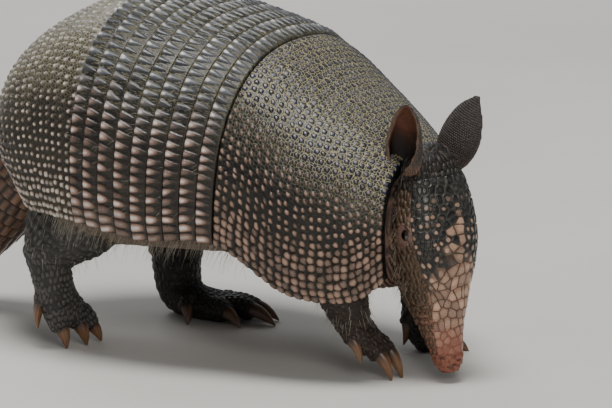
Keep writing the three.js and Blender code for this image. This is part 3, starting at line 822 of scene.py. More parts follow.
def shield(name, first, last, rows, scute_rows, columns, material, seed, look):
    """A shield of the shell: a closed plate with its scutes raised.

    look: flank: angles where the back's colours give way to the flank's; large: radius of the large scutes
    on top, on the flank and at the margin; lift: how far they rise on top and below; dome: radius of their
    rise; front_low: how far the low scutes climb in front."""
    u = even_stations(first, last, rows)
    sheet, t, half = shell_sheet(u, columns)
    normals = outward(sheet, SHELL_CORE)
    steps = np.linalg.norm(np.diff(sheet, axis=0), axis=-1)
    row_step = np.vstack([steps[:1], steps]) * rows / scute_rows
    v = np.linspace(0, scute_rows, rows + 1)[:, None] + 0 * t
    v = v + 0.2 * noise(sheet, 17)
    q = np.linspace(-1, 1, columns + 1)[None, :] + 0 * t
    side = np.abs(np.degrees(t))
    front = v / scute_rows if look["front_low"] else 0.5
    down = side + 6 * noise(sheet, 12) + 22 * (front - 0.5)
    flank_from, flank_to = look["flank"]
    flank = ease(flank_from, flank_to, down)
    low = ease(0.74, 0.93, np.abs(q) + look["front_low"] * (1 - v / scute_rows))
    on_top, on_flank, at_margin = look["large"]
    large = on_top + (on_flank - on_top) * flank
    large = large + (at_margin - large) * low
    pattern = ScuteRows(scute_rows, half, look["pitch"], seed, small_count=look["small_count"])
    here, there = pattern.nearest(v, q, half[:, None], row_step, large)
    middle = scute_reach(here, v, q, half[:, None], row_step)
    seam = (there["gap"] - here["gap"]) / 2
    dome = np.sqrt(np.clip(1 - (middle / (look["dome"] + 1.1 * low)) ** 2, 0, 1))
    relief = np.maximum(ease(flank_from - 16, flank_from + 12, down), low)
    flat, raised = look["lift"]
    lift_main = flat + (raised - flat) * relief
    plateau = ease(0.0, 0.5, seam)
    kind = here["kind"]
    lift = kind * (0.2 * plateau + lift_main * dome * plateau) + (1 - kind) * 0.16 * plateau
    fall = rim_round(rows, columns, steps.sum(axis=0).mean(), half, 1.4)
    outer = sheet + normals * (lift - fall)[..., None]
    rough_rows, rough_columns = 12, 40
    inner, _, _ = shell_sheet(even_stations(first, last, rough_rows), rough_columns, SHELL_THICK)
    points, faces, uv = plate_mesh(outer, inner, 2)
    values = {"flank": flank, "low": low}
    facets = facet_scutes(pattern, faces[0], v, q, half[:, None], row_step, large)
    return build_piece(name, points, faces, material, values, uv, facets)


def band(number, material):
    """A movable band: a row of long wedges whose broad ends make the raised rear edge."""
    step = (BANDS_TO - BANDS_FROM) / BAND_COUNT
    first = BANDS_FROM + (number - 1) * step
    rows, columns = 26, 800
    u = np.linspace(first + JOINT_GAP, first + step - JOINT_GAP, rows + 1)
    sheet, t, half = shell_sheet(u, columns)
    normals = outward(sheet, SHELL_CORE)
    f = np.linspace(0, 1, rows + 1)[:, None] + 0 * t
    q = np.linspace(-1, 1, columns + 1)[None, :] + 0 * t
    side = np.abs(np.degrees(t))
    rng = np.random.default_rng(40 + number)
    count = int(rng.integers(61, 65))
    place = (q + 1) / 2 * count + 0.15 * noise(sheet, 6)
    column = np.clip(np.floor(place).astype(int), 0, count - 1)
    tone = rng.random(count)[column]
    apex = rng.normal(0.12, 0.05, count)[column]
    x = np.abs(place - column - 0.5)
    flank = ease(48, 78, side + 6 * noise(sheet, 9))
    low = ease(86, 104, side)
    narrow = np.clip((f - apex + 0.35 * low) / (1 - apex), 0, 1)
    wedge = 0.5 * (0.9 + 0.06 * low) * narrow ** (0.75 - 0.45 * low)
    pitch = 2 * half.mean() / count
    inside = ease(-0.12, 0.22, (wedge - x) * pitch)
    ridge = np.sqrt(np.clip(1 - (x / np.maximum(wedge, 0.02)) ** 2, 0, 1)) * inside
    slope = 4 * f * np.sign(place - column - 0.5)
    stria = np.sin(place * 2 * math.pi * 5 + slope + 2 * noise(sheet, 2.5)) * (1 - inside)
    lift = 1.05 * ridge * (0.3 + 0.7 * f) + 0.08 * stria + 0.05 * noise(sheet, 3)
    lift = lift * (1 - 0.45 * ease(0.86, 1.0, f))
    length = np.linalg.norm(np.diff(sheet, axis=0), axis=-1).sum(axis=0).mean()
    fall = rim_round(rows, columns, length, half, 0.7)
    outer = sheet + normals * (lift + BAND_STEP_UP * f - fall)[..., None]
    inner, _, _ = shell_sheet(np.linspace(u[0], u[-1], 3), 60, SHELL_THICK)
    points, faces, uv = plate_mesh(outer, inner, 8)
    line = 0.7 * ease(0.55, 0.95, stria + 0.35 * noise(sheet, 1.6))
    rim = ease(0.9, 0.97, f)
    # painted glint: the pale tip colour at the wedges' broad ends, fading to the painted shade of the edge
    # colour down their sides
    painted_glint = ease(0.3, 0.85, f + 0.3 * low) * np.clip(1 - (x / np.maximum(wedge, 0.02)) ** 2, 0, 1)
    values = {
        "main": inside * (1 - 0.75 * rim * (1 - flank)),
        "net": np.maximum(line, rim * 0.85) * (1 - 0.7 * flank),
        "flank": flank,
        "rise": painted_glint * (0.65 + 0.35 * tone),
        "tone": tone,
    }
    return build_piece(f"shell_band_{number}", points, faces, material, values, uv)


def shell():
    """The shoulder shield, the nine bands and the hip shield."""
    look = {"flank": (50, 84), "front_low": 0.1, "pitch": 4.3, "large": (1.35, 0.8, 2.3), "small_count": 3,
            "dome": 1.75, "lift": (0.15, 1.1)}
    fore = shield("shoulder_shield", 0, BANDS_FROM - JOINT_GAP, rows=168, scute_rows=22, columns=580,
                  material=SCAPULAR_HORN, seed=11, look=look)
    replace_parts(fore, "scapular_shield")
    for number in range(1, BAND_COUNT + 1):
        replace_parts(band(number, BAND_HORN), f"band_{number}")
    look = {"flank": (36, 76), "front_low": 0.0, "pitch": 4.3, "large": (0.7, 0.8, 1.4), "small_count": 5,
            "dome": 1.6, "lift": (0.6, 0.9)}
    hind = shield("hip_shield", BANDS_TO + JOINT_GAP, len(TORSO) - 1, rows=200, scute_rows=22, columns=470,
                  material=PELVIC_HORN, seed=12, look=look)
    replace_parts(hind, "pelvic_shield")


shell()


# ---- skin ----


TRUNK_FROM, TRUNK_TO = 0.25, 8.6  # torso stations between which the flesh of the trunk runs
CLEAR_OF_SHELL = 1.2  # millimetres between the shell's inside and the flesh
FRONT_DROP = 12.5  # how much further inside the flesh starts at the shell's front rim
NECK_FROM, BELLY_TO = -8, -22  # x where the trunk's skin is finest in front of, and coarser behind
TAIL_RINGS_FROM = -236  # x behind which rings cover the tail's skin


def closed_loft(rings):
    """Points, quads and end fans of a closed body through rings, an array (rings, points, 3)."""
    count, sides = rings.shape[:2]
    points = np.concatenate([rings.reshape(-1, 3), [rings[0].mean(axis=0), rings[-1].mean(axis=0)]])
    quads = grid_faces(count - 1, sides, closed=True)
    k = np.arange(sides)
    after = (k + 1) % sides
    end = (count - 1) * sides
    first = np.stack([np.full(sides, count * sides), after, k], axis=-1)
    last = np.stack([np.full(sides, count * sides + 1), end + k, end + after], axis=-1)
    return points, quads, np.concatenate([first, last])


def domed(ring, inner, cap):
    """Rings that round off an end: ring is the last one, inner the one before it, cap the dome's height."""
    middle = ring.mean(axis=0)
    ahead = unit(middle - inner.mean(axis=0)) * cap
    angles = np.radians([25, 45, 62, 76])
    return np.stack([middle + (ring - middle) * math.cos(a) + ahead * math.sin(a) for a in angles])


def round_ends(rings, first_cap, last_cap):
    """Rings with their ends rounded off; a cap of 0 leaves the first end flat."""
    parts = [rings, domed(rings[-1], rings[-2], last_cap)]
    if first_cap:
        parts.insert(0, domed(rings[0], rings[1], first_cap)[::-1])
    return np.concatenate(parts)


def tube_rings(stations, steps, sides, grow=0.0):
    """Rings of a bent tube."""
    u = np.linspace(0, len(stations) - 1, steps + 1)[:, None]
    t = full_turn(sides)[None, :]
    return tube_point(stations, u + 0 * t, t + 0 * u, grow)


def toe_stations(toe):
    """A toe as a tube that arches a little."""
    start, end, radius = np.array(toe[0], float), np.array(toe[1], float), toe[2]
    middle = (start + end) / 2 + np.array([0, 0, 1])
    return [(*start, 0.95 * radius, radius), (*middle, radius, radius), (*end, 0.98 * radius, 0.95 * radius)]


def ear_point(side, share, turn, inward=0.0):
    """A point of the ear: share of its length, turn from -1 to 1 across the rolled leaf."""
    axis = unit(mirrored(EAR_AXIS, side))
    name = "left" if side > 0 else "right"
    aim = math.radians(EAR_AIM[name])
    opening = np.array([0, side * math.cos(aim), math.sin(aim)])
    opening = unit(opening - axis * (opening @ axis))
    across = np.cross(axis, opening)
    share, turn = np.broadcast_arrays(np.asarray(share, float), np.asarray(turn, float))
    u = np.interp(share, [row[0] for row in EAR], np.arange(len(EAR)))
    wide = spline([row[1] for row in EAR], u) + EAR_TIP[name] * ease(0.55, 0.9, share) - inward
    t = np.radians(spline([row[2] for row in EAR], u)) * turn
    local = mirrored(EAR_ROOT, side) + axis * (share * EAR_LENGTH)[..., None]
    local = local + across * (wide * np.sin(t))[..., None]
    return from_head(local - opening * (EAR_DEPTH * wide * np.cos(t))[..., None])


def ear_rings(side):
    """Rings up an ear: round its back, then back along its inside."""
    share = np.linspace(0, 1, 25)[:, None]
    turn = np.linspace(-1, 1, 25)[None, :]
    inside = ear_point(side, share, -turn, EAR_THICK)
    return np.concatenate([ear_point(side, share, turn), inside], axis=1)


def flesh_parts():
    """Every flesh part by name, as rings of a closed loft; the parts run into each other."""
    turn = full_turn(72)[None, :]
    u = np.linspace(TRUNK_FROM, TRUNK_TO, 70)[:, None]
    inset = SHELL_THICK + CLEAR_OF_SHELL + FRONT_DROP * ease(1.1, TRUNK_FROM, u) + 0 * turn
    share = np.linspace(-0.02, 1, 70)[:, None]
    parts = {
        "trunk": round_ends(torso_point(u + 0 * turn, turn + 0 * u, inset, trunk=True), 6, 4),
        "head": round_ends(from_head(head_point(share + 0 * turn, turn + 0 * share)), 3, 1.2),
        "neck": round_ends(tube_rings(NECK, 24, 48), 4, 4),
        "tail": round_ends(tube_rings(TAIL, 110, 32, grow=-1.0), 0, 1.5),
        "ear_left": ear_rings(1),
        "ear_right": ear_rings(-1),
    }
    for name, limb in LEGS.items():
        parts[f"leg_{name}"] = round_ends(tube_rings(limb["leg"], 18, 32), 3, 3)
        parts[f"foot_{name}"] = round_ends(tube_rings(limb["foot"], 18, 32), 2.5, 2.5)
        for n, toe in enumerate(limb["toes"]):
            rings = tube_rings(toe_stations(toe), 8, 18)
            parts[f"toe_{name}_{n + 1}"] = round_ends(rings, toe[2] * 0.6, toe[2] * 0.35)
    return parts


def through_modifier(mesh, kind, settings, weighted=None):
    """The mesh after one modifier; weighted marks the vertices of its vertex group."""
    carrier = bpy.data.objects.new("carrier", mesh)
    bpy.context.scene.collection.objects.link(carrier)
    if weighted is not None:
        carrier.vertex_groups.clear()
        carrier.vertex_groups.new(name="hidden").add(np.flatnonzero(weighted).tolist(), 1.0, "REPLACE")
    modifier = carrier.modifiers.new("step", kind)
    for key, value in settings.items():
        setattr(modifier, key, value)
    depsgraph = bpy.context.evaluated_depsgraph_get()
    result = bpy.data.meshes.new_from_object(carrier.evaluated_get(depsgraph))
    bpy.data.objects.remove(carrier)
    return result


def numbers_of(items, name, width, kind=np.float32):
    """The same numbers of every vertex, edge or other item of a mesh, as an array."""
    values = np.empty(len(items) * width, kind)
    items.foreach_get(name, values)
    return values.reshape(-1, width)


def relax(mesh, points, steps, chosen):
    """Smooths the chosen points of a mesh: takes facets away and keeps the volume."""
    edges = numbers_of(mesh.edges, "vertices", 2, np.int32)
    count = len(points)
    degree = np.maximum(np.bincount(edges.ravel(), minlength=count), 1)[:, None]
    share = np.asarray(chosen, float)[:, None]
    for step in range(2 * steps):
        total = [
            np.bincount(edges[:, 0], points[edges[:, 1], i], count)
            + np.bincount(edges[:, 1], points[edges[:, 0], i], count)
            for i in range(3)
        ]
        weight = 0.5 if step % 2 == 0 else -0.52
        points = points + weight * share * (np.stack(total, axis=-1) / degree - points)
    mesh.vertices.foreach_set("co", points.astype(np.float32).ravel())
    return points


class FleshMap:
    """Says which flesh part a place belongs to, and where on it: shares along and around."""

    def __init__(self, parts):
        self.names = list(parts)
        number, along, around, places = [], [], [], []
        for n, rings in enumerate(parts.values()):
            rows, sides = rings.shape[:2]
            number.append(np.full(rows * sides, n))
            along.append(np.repeat(np.linspace(0, 1, rows), sides))
            around.append(np.tile(np.arange(sides) / sides, rows))
            places.append(rings.reshape(-1, 3))
        self.number, self.along, self.around = (np.concatenate(block) for block in (number, along, around))
        places = np.concatenate(places)
        self.tree = KDTree(len(places))
        for i, place in enumerate(places.tolist()):
            self.tree.insert(place, i)
        self.tree.balance()

    def look_up(self, points):
        """Part numbers and shares along and around of the nearest places."""
        nearest = np.array([self.tree.find(place)[1] for place in points.tolist()])
        return self.number[nearest], self.along[nearest], self.around[nearest]

    def is_part(self, number, start):
        """Marks the parts whose names start so; start may be several beginnings."""
        chosen = [n for n, name in enumerate(self.names) if name.startswith(start)]
        return np.isin(number, chosen)


VOXEL = 1.16  # millimetres from point to point of the joined flesh
HIDDEN_SAVING, BELLY_SAVING = 0.93, 0.65  # shares of the points that are taken out again
FINE_AREAS = ("head", "ear")


def joined_flesh(parts):
    """One closed mesh round all the flesh parts."""
    points, faces, start = [], [], 0
    for rings in parts.values():
        places, quads, fans = closed_loft(rings)
        points.append(places)
        faces += (quads + start).tolist() + (fans + start).tolist()
        start += len(places)
    mesh = bpy.data.meshes.new("flesh")
    mesh.from_pydata(np.concatenate(points).tolist(), [], faces)
    return through_modifier(mesh, "REMESH", {"mode": "VOXEL", "voxel_size": VOXEL})


def under_cover(points, number, along, around, flesh):
    """Marks the places that the shell or the tail's rings hide."""
    u = TRUNK_FROM + along * (TRUNK_TO - TRUNK_FROM)
    angle = np.abs(np.degrees(np.where(around > 0.5, around - 1, around) * 2 * math.pi))
    beneath = flesh.is_part(number, "trunk") & (angle < torso_size("edge", u) - 12) & (u > 0.7)
    beneath |= flesh.is_part(number, "tail") & (points[:, 0] < TAIL_RINGS_FROM)
    return beneath | under_plates(points, number, flesh, 7)


def under_plates(points, number, flesh, margin):
    """Marks the places on the head that its plates hide, margin degrees inside their edge."""
    local = to_head(points)
    a = local[:, 0] / HEAD_LENGTH
    turn = np.degrees(np.arctan2(np.abs(local[:, 1]), local[:, 2]))
    inside = (a > SHIELD_FROM + 0.02) & (a < PLATES_TO - 0.01)
    return flesh.is_part(number, "head") & inside & (turn < np.degrees(shield_reach(a)) - margin)


def finer(mesh, chosen):
    """The mesh with the faces round the chosen vertices cut in four."""
    shape = bmesh.new()
    shape.from_mesh(mesh)
    shape.verts.ensure_lookup_table()
    edges = [edge for edge in shape.edges if chosen[edge.verts[0].index] and chosen[edge.verts[1].index]]
    bmesh.ops.subdivide_edges(shape, edges=edges, cuts=1, use_grid_fill=True)
    bmesh.ops.triangulate(shape, faces=[face for face in shape.faces if len(face.verts) > 4])
    shape.to_mesh(mesh)
    shape.free()
    return mesh


def eye_axes(side):
    """The middle of an eyeball, and its axes out of the head, down the face and across."""
    place = from_head(mirrored(EYE_PLACE, side))
    out = unit(mirrored(EYE_LOOK, side)) @ HEAD_AXES
    down = unit(HEAD_AXES[0] - out * (HEAD_AXES[0] @ out))
    return place, out, down, np.cross(out, down)


def eye_relief(points, side):
    """How far to move places near an eye: its socket, its lids and the wrinkles round them."""
    place, out, down, front = eye_axes(side)
    offset = points - place
    x, y, z = offset @ down, offset @ front, offset @ out
    ring = np.hypot(x / 3.0, y / 2.5)
    near = (z > -4) & (ring < 5)
    ball = np.sqrt(np.clip(EYE_RADIUS**2 - x * x - y * y, 0, None))
    socket = ease(1.0, 0.74, ring) * np.where(near, ball - 0.8 - z, 0)
    lid_height = ball + 0.3 - z
    lid = ease(0.76, 0.98, ring) * ease(1.9, 1.25, ring) * np.where(near, np.maximum(lid_height, 0), 0)
    bulge = 0.35 * np.exp(-(((ring - 1.7) / 0.55) ** 2)) * (z > -4)
    wrinkle = np.sin(ring * 11 + 1.5 * np.sin(3 * np.arctan2(y, x)) + 2 * noise(points, 3))
    folds = 0.28 * wrinkle * ease(3.6, 2.0, ring) * ease(1.15, 1.4, ring) * (z > -4)
    return out * (socket + lid + bulge + folds)[:, None], ring, near


def cracked(points, size, depth, seed=0.0):
    """Wrinkle pattern from 0 in the cracks to 1 on the cushions between them."""
    a = np.abs(noise(points + seed, size))
    b = np.abs(noise(points + 31.7 + seed, size * 0.55))
    return depth * (0.65 * ease(0.0, 0.28, a) + 0.35 * ease(0.0, 0.3, b))


def skin_relief(points, normals, number, along, around, flesh):
    """Moves skin places to their folds and wrinkles; returns them and the values the material reads."""
    local = to_head(points)
    a = local[:, 0] / HEAD_LENGTH
    on_head = flesh.is_part(number, "head")
    on_neck = flesh.is_part(number, "neck")
    on_ear = flesh.is_part(number, "ear")
    on_trunk = flesh.is_part(number, "trunk")
    fine = flesh.is_part(number, ("foot", "toe"))
    on_limb = flesh.is_part(number, "leg") | fine
    face_turn = np.degrees(np.arctan2(np.abs(local[:, 1]), local[:, 2]))
    lift = np.zeros(len(points))
    # folds of the neck run down, round the opening of the shell
    neck_share = ease(-26, -10, points[:, 0]) * (on_neck | (on_trunk & (points[:, 0] > -14)))
    ring = np.hypot(points[:, 1], points[:, 2] - 78)
    wave = np.abs(np.sin(1.1 * ring - 0.9 * points[:, 0] + 1.3 * noise(points, 12)))
    lift += neck_share * (1.7 * wave**1.2 + cracked(points, 2.2, 0.6) + 0.3 * noise(points, 5) - 1.8)
    # wrinkles of the snout run across it
    snout = on_head * ease(0.6, 0.8, a)
    rings = np.sin(a * 190 + 2.6 * noise(points, 4))
    lift += snout * (0.2 * rings * ease(1.02, 0.97, a) + cracked(points, 1.7, 1.0) - 0.62)
    crown = on_head * ease(0.2, 0.12, a + 0.02 * noise(points, 6))
    lift += (on_head & (a < 0.97)) * (1 - snout) * (1 - crown) * cracked(points, 3.4, 0.5)
    lift += crown * (cracked(points, 3.0, 1.3, 2.0) - 0.8)
    # folds of the throat run along the head
    throat = on_head * ease(112, 126, face_turn + 6 * noise(points, 10)) * ease(0.75, 0.55, a)
    fold = np.abs(np.sin(face_turn * 0.27 + 1.6 * noise(points, 11)))
    lift += throat * (1.9 * fold**0.7 + cracked(points, 2.6, 0.9) - 1.7)
    # mouth
    mouth = np.exp(-(((face_turn - 128 + 10 * ease(0.98, 0.75, a)) / 6) ** 2))
    mouth = mouth * ease(0.56, 0.66, a) * ease(1.0, 0.96, a)
    lift -= on_head * 0.9 * mouth
    # limbs: slanting wrinkles
    slant = np.sin((points[:, 2] * 0.8 + points[:, 0] * 0.45 + 2.4 * noise(points, 11)) * 1.5)
    lift += on_limb * (1 - 0.7 * fine) * (0.3 * slant + cracked(points, 5.0, 0.55, 9.0) - 0.3)
    lift += on_limb * fine * (cracked(points, 2.6, 0.35, 3.0) - 0.2)
    # belly: broad creases
    lift += on_trunk * (1 - neck_share) * (cracked(points, 7.0, 0.9, 5.0) + 0.3 * slant)
    lift += on_ear * 0.1 * noise(points, 1.6)
    lift = np.where(under_plates(points, number, flesh, 3), -0.9, lift)
    moved = points + normals * lift[:, None]
    lids, open_eye = np.zeros(len(points)), np.zeros(len(points))
    for side in (1, -1):
        shift, ring, near = eye_relief(moved, side)
        shift = shift * (on_head & near)[:, None]
        moved = moved + shift
        lids = np.maximum(lids, on_head * near * ease(3.6, 1.4, ring))
        open_eye = np.maximum(open_eye, on_head * near * ease(1.02, 0.84, ring))
    # nostrils
    nostrils = np.zeros(len(points))
    for side in (1, -1):
        place = from_head(mirrored(NOSTRIL_PLACE, side))
        reach = np.linalg.norm(moved - place, axis=-1)
        pit = ease(2.1, 0.9, reach)
        rim = np.exp(-(((reach - 2.6) / 0.7) ** 2))
        moved = moved - HEAD_AXES[0] * (2.6 * pit * on_head)[:, None]
        moved = moved + normals * (0.45 * rim * on_head)[:, None]
        nostrils = np.maximum(nostrils, pit * on_head)
    values = {
        # lift: how far the skin stands out; the hide darkens its creases with it as painted shade and
        # lightens its crests a little as painted light
        "lift": np.clip(0.5 + lift * 0.6, 0, 1),
        "snout": snout,
        "tip": on_head * ease(0.80, 0.93, a + 0.03 * noise(points, 6)),
        "head": on_head * (1 - throat),
        "crown": crown,
        "neck": np.clip(np.maximum(neck_share, throat), 0, 1),
        "lids": lids,
        # dark: painted shade in the nostrils, the eye openings and the mouth's crease
        "dark": np.maximum(nostrils, np.maximum(open_eye, 0.8 * mouth * on_head)),
        "inside": on_ear * ease(0.485, 0.52, around),
        "ear": on_ear,
        # ear_root: towards the ear's root, where its inside gets painted shade
        "ear_root": on_ear * ease(0.75, 0.25, along + 0.1 * noise(points, 6)),
        "ear_rim": on_ear * ease(0.055, 0.02, np.abs(around - np.round(around * 2) / 2)),
        "limb": on_limb,
        "fore": flesh.is_part(number, ("leg_fore", "foot_fore", "toe_fore")),
        # left: how far a place is to the left, where the limbs get painted shade
        "left": ease(-5, 5, points[:, 1]),
    }
    return moved, values


def polygon_blocks(mesh):
    """The mesh's triangles and quads as arrays of vertex numbers."""
    sizes = numbers_of(mesh.polygons, "loop_total", 1, np.int32)[:, 0]
    loops = numbers_of(mesh.loops, "vertex_index", 1, np.int32)[:, 0]
    starts = np.cumsum(sizes) - sizes
    return [loops[starts[sizes == n][:, None] + np.arange(n)] for n in (3, 4)]


def looked_up(mesh, flesh):
    """The places of a mesh's points, what each is part of and where, and whether it is under cover."""
    points = numbers_of(mesh.vertices, "co", 3).astype(float)
    found = flesh.look_up(points)
    return points, found, under_cover(points, *found, flesh)


def thinned(mesh, chosen, saving):
    """The mesh with a share of its chosen points taken out."""
    ratio = (len(chosen) - saving * chosen.sum()) / len(chosen)
    return through_modifier(mesh, "DECIMATE", {"ratio": ratio, "vertex_group": "hidden"}, chosen)


def skin(material):
    """The hide: one closed mesh, coarse where it is hidden, with its folds and wrinkles.

    It is looked up again after each step, because every step renumbers its points."""
    parts = flesh_parts()
    flesh = FleshMap(parts)
    mesh = joined_flesh(parts)
    _, _, cover = looked_up(mesh, flesh)
    mesh = thinned(mesh, cover, HIDDEN_SAVING)
    points, found, cover = looked_up(mesh, flesh)
    belly = flesh.is_part(found[0], "trunk") & (points[:, 0] < BELLY_TO) & ~cover
    mesh = thinned(mesh, belly, BELLY_SAVING)
    points, found, cover = looked_up(mesh, flesh)
    points = relax(mesh, points, 3, ~cover)
    chosen = flesh.is_part(found[0], FINE_AREAS)
    chosen |= flesh.is_part(found[0], "trunk") & (points[:, 0] > NECK_FROM)
    mesh = finer(mesh, chosen & ~cover)
    points, found, cover = looked_up(mesh, flesh)
    points = relax(mesh, points, 2, ~cover)
    mesh.update()
    normals = numbers_of(mesh.vertex_normals, "vector", 3).astype(float)
    moved, values = skin_relief(points, normals, *found, flesh)
    moved[:, 2] = np.maximum(moved[:, 2], 0.0)
    faces = [block for block in polygon_blocks(mesh) if len(block)]
    piece = build_piece("skin", moved, faces, material, values)
    names = ["trunk", "neck", "head", "ear_left", "ear_right"] + [f"tail_{n}" for n in range(1, 6)]
    names += [f"{kind}_{limb}" for limb in LEGS for kind in ("leg", "foot")]
    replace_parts(piece, *names)
    return piece


def hide_material():
    """Bare hide: dark on the limbs, pink on the snout, brown in the ears, with painted shade deep in its
    wrinkles, its ear canals, nostrils, mouth and eye openings, and on the left limbs.
    """
    material, tree, shader = principled("hide", coat=0.05, coat_roughness=0.35, specular=0.45)
    grain = grain_in(tree)
    keys = ("lift", "snout", "tip", "head", "crown", "neck", "lids", "dark")
    keys += ("inside", "ear", "ear_root", "ear_rim", "limb", "fore", "left")
    read = {key: reading(tree, key) for key in keys}
    blotch = ramp(tree, grain["Blotch"], 0.35, 0.65)
    colour = mix_colour(tree, blotch, srgb("6a5a4c"), srgb("57493d"))
    limb = mix_colour(tree, read["fore"], srgb("2d2a28"), srgb("24170f"))
    # painted shade: the left limbs, on the far side, are darker still
    limb = mix_colour(tree, maths(tree, "MULTIPLY", read["left"], 0.8), limb, srgb("1b1410"))
    colour = mix_colour(tree, read["limb"], colour, limb)
    neck = mix_colour(tree, blotch, srgb("634d41"), srgb("7f6254"))
    colour = mix_colour(tree, read["neck"], colour, neck)
    head = mix_colour(tree, blotch, srgb("765a48"), srgb("856855"))
    head = mix_colour(tree, read["snout"], head, srgb("8a6350"))
    tip = mix_colour(tree, blotch, srgb("96604c"), srgb("784534"))
    head = mix_colour(tree, read["tip"], head, tip)
    crown = mix_colour(tree, ramp(tree, read["lift"], 0.2, 0.5), srgb("8a7a62"), srgb("1d1a18"))
    head = mix_colour(tree, read["crown"], head, crown)
    head = mix_colour(tree, read["lids"], head, srgb("7b6156"))
    colour = mix_colour(tree, read["head"], colour, head)
    ear = mix_colour(tree, blotch, srgb("2f2724"), srgb("3a302b"))
    inner = mix_colour(tree, blotch, srgb("64351f"), srgb("3a1c11"))
    # painted shade: near black deep in the ear, towards its root
    inner = mix_colour(tree, read["ear_root"], inner, srgb("0f0806"))
    ear = mix_colour(tree, read["inside"], ear, inner)
    ear = mix_colour(tree, maths(tree, "MULTIPLY", read["ear_rim"], 0.8), ear, srgb("7d6350"))
    colour = mix_colour(tree, read["ear"], colour, ear)
    # painted shade deep in the folds and wrinkles, a little painted light on their crests
    colour = shaded(tree, colour, ramp(tree, read["lift"], 0.1, 0.75, 0.3, 1.14))
    colour = shaded(tree, colour, grained(tree, grain, 0.82, 1.16))
    # painted shade: near black in the nostrils, eye openings and mouth
    colour = mix_colour(tree, read["dark"], colour, srgb("0d0907"))
    tree.links.new(colour, shader.inputs["Base Color"])
    tree.links.new(grained(tree, grain, 0.45, 0.68), shader.inputs["Roughness"])
    bumpy(tree, shader, [(grain["Cracks"], 0.25, 0.00025), (grain["Grain"], 0.4, 0.00025)])
    return material


HIDE = skin(hide_material())


# ---- head and tail plates ----


def head_plates(material):
    """Plates over the forehead and snout: dark with pale middles, a tan stripe, and long tan ones below."""
    rows, columns, scute_rows = 290, 180, 19
    a = np.linspace(SHIELD_FROM, PLATES_TO, rows + 1)[:, None]
    q = np.linspace(-1, 1, columns + 1)[None, :] + 0 * a
    a = a + 0 * q
    thin = ease(0.64, 0.9, a)
    sheet = from_head(head_point(a, shield_reach(a) * q, 0.55 * thin - 0.7))
    core = from_head(np.array([0.4 * HEAD_LENGTH, 0, 0]))
    normals = outward(sheet, core)
    half = np.linalg.norm(np.diff(sheet, axis=1), axis=-1).sum(axis=1) / 2
    v = np.interp(a, [SHIELD_FROM, 0.46, SHIELD_TO, PLATES_TO], [0, 9, 12.6, scute_rows])
    v = v + 0.3 * noise(sheet, 9)
    row_step = HEAD_LENGTH / np.interp(a, [0.44, 0.5, 0.64, 0.7], [25, 18, 18, 23.7])
    large = 0 * a + 1.5
    pattern = ScuteRows(scute_rows, half, 3.9, 21, small_count=0, jitter=0.17)
    here, there = pattern.nearest(v, q, half[:, None], row_step, large)
    middle = scute_reach(here, v, q, half[:, None], row_step)
    seam, tone = (there["gap"] - here["gap"]) / 2, here["tone"]
    from_ridge = np.abs(q * half[:, None])
    own = here["v"] + 1.4 * (tone - 0.5) - 2.6 * (from_ridge / 16) ** 2 + 0.7 * noise(sheet, 5)
    tan = ease(8.4, 10.2, own)
    own_ridge = np.abs(here["q"] * half[:, None])
    stripe = ease(3.1, 2.7, own_ridge) * ease(3.4, 3.6, here["v"])
    stripe = stripe * ease(0.12, 0.2, tone) * ease(0.05, 0.3, seam)
    plateau = ease(0.0, 0.5, seam)
    dome = np.sqrt(np.clip(1 - (middle / 3.0) ** 2, 0, 1))
    lift = (0.32 * plateau + (0.45 - 0.25 * tan) * dome * plateau) * (1 - 0.6 * thin)
    lift = lift + 0.12 * thin * noise(sheet, 1.8)
    length = (PLATES_TO - SHIELD_FROM) * HEAD_LENGTH
    fall = rim_round(rows, columns, length, half, 0.9)
    outer = sheet + normals * (lift - fall)[..., None]
    rough = np.linspace(SHIELD_FROM, PLATES_TO, 13)[:, None]
    across = np.linspace(-1, 1, 13)[None, :]
    inner = from_head(head_point(rough + 0 * across, shield_reach(rough) * across, 1.7))
    points, faces, uv = plate_mesh(outer, inner, 1)
    spotted = ease(0.35, 0.6, tone + 1.2 * (a - 0.32))
    spot = ease(0.15, 0.3, a) * spotted * ease(1.3, 0.6, middle + 0.5 * noise(sheet, 1.5))
    values = {
        "flank": np.clip(np.maximum(tan, stripe) + 0.75 * spot, 0, 1),
        "blush": ease(0.72, 0.92, a + 0.03 * noise(sheet, 5)),
    }
    facets = facet_scutes(pattern, faces[0], v, q, half[:, None], row_step, large)
    piece = build_piece("head_plates", points, faces, material, values, uv, facets)
    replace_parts(piece, "head_shield")


head_plates(HEAD_HORN)


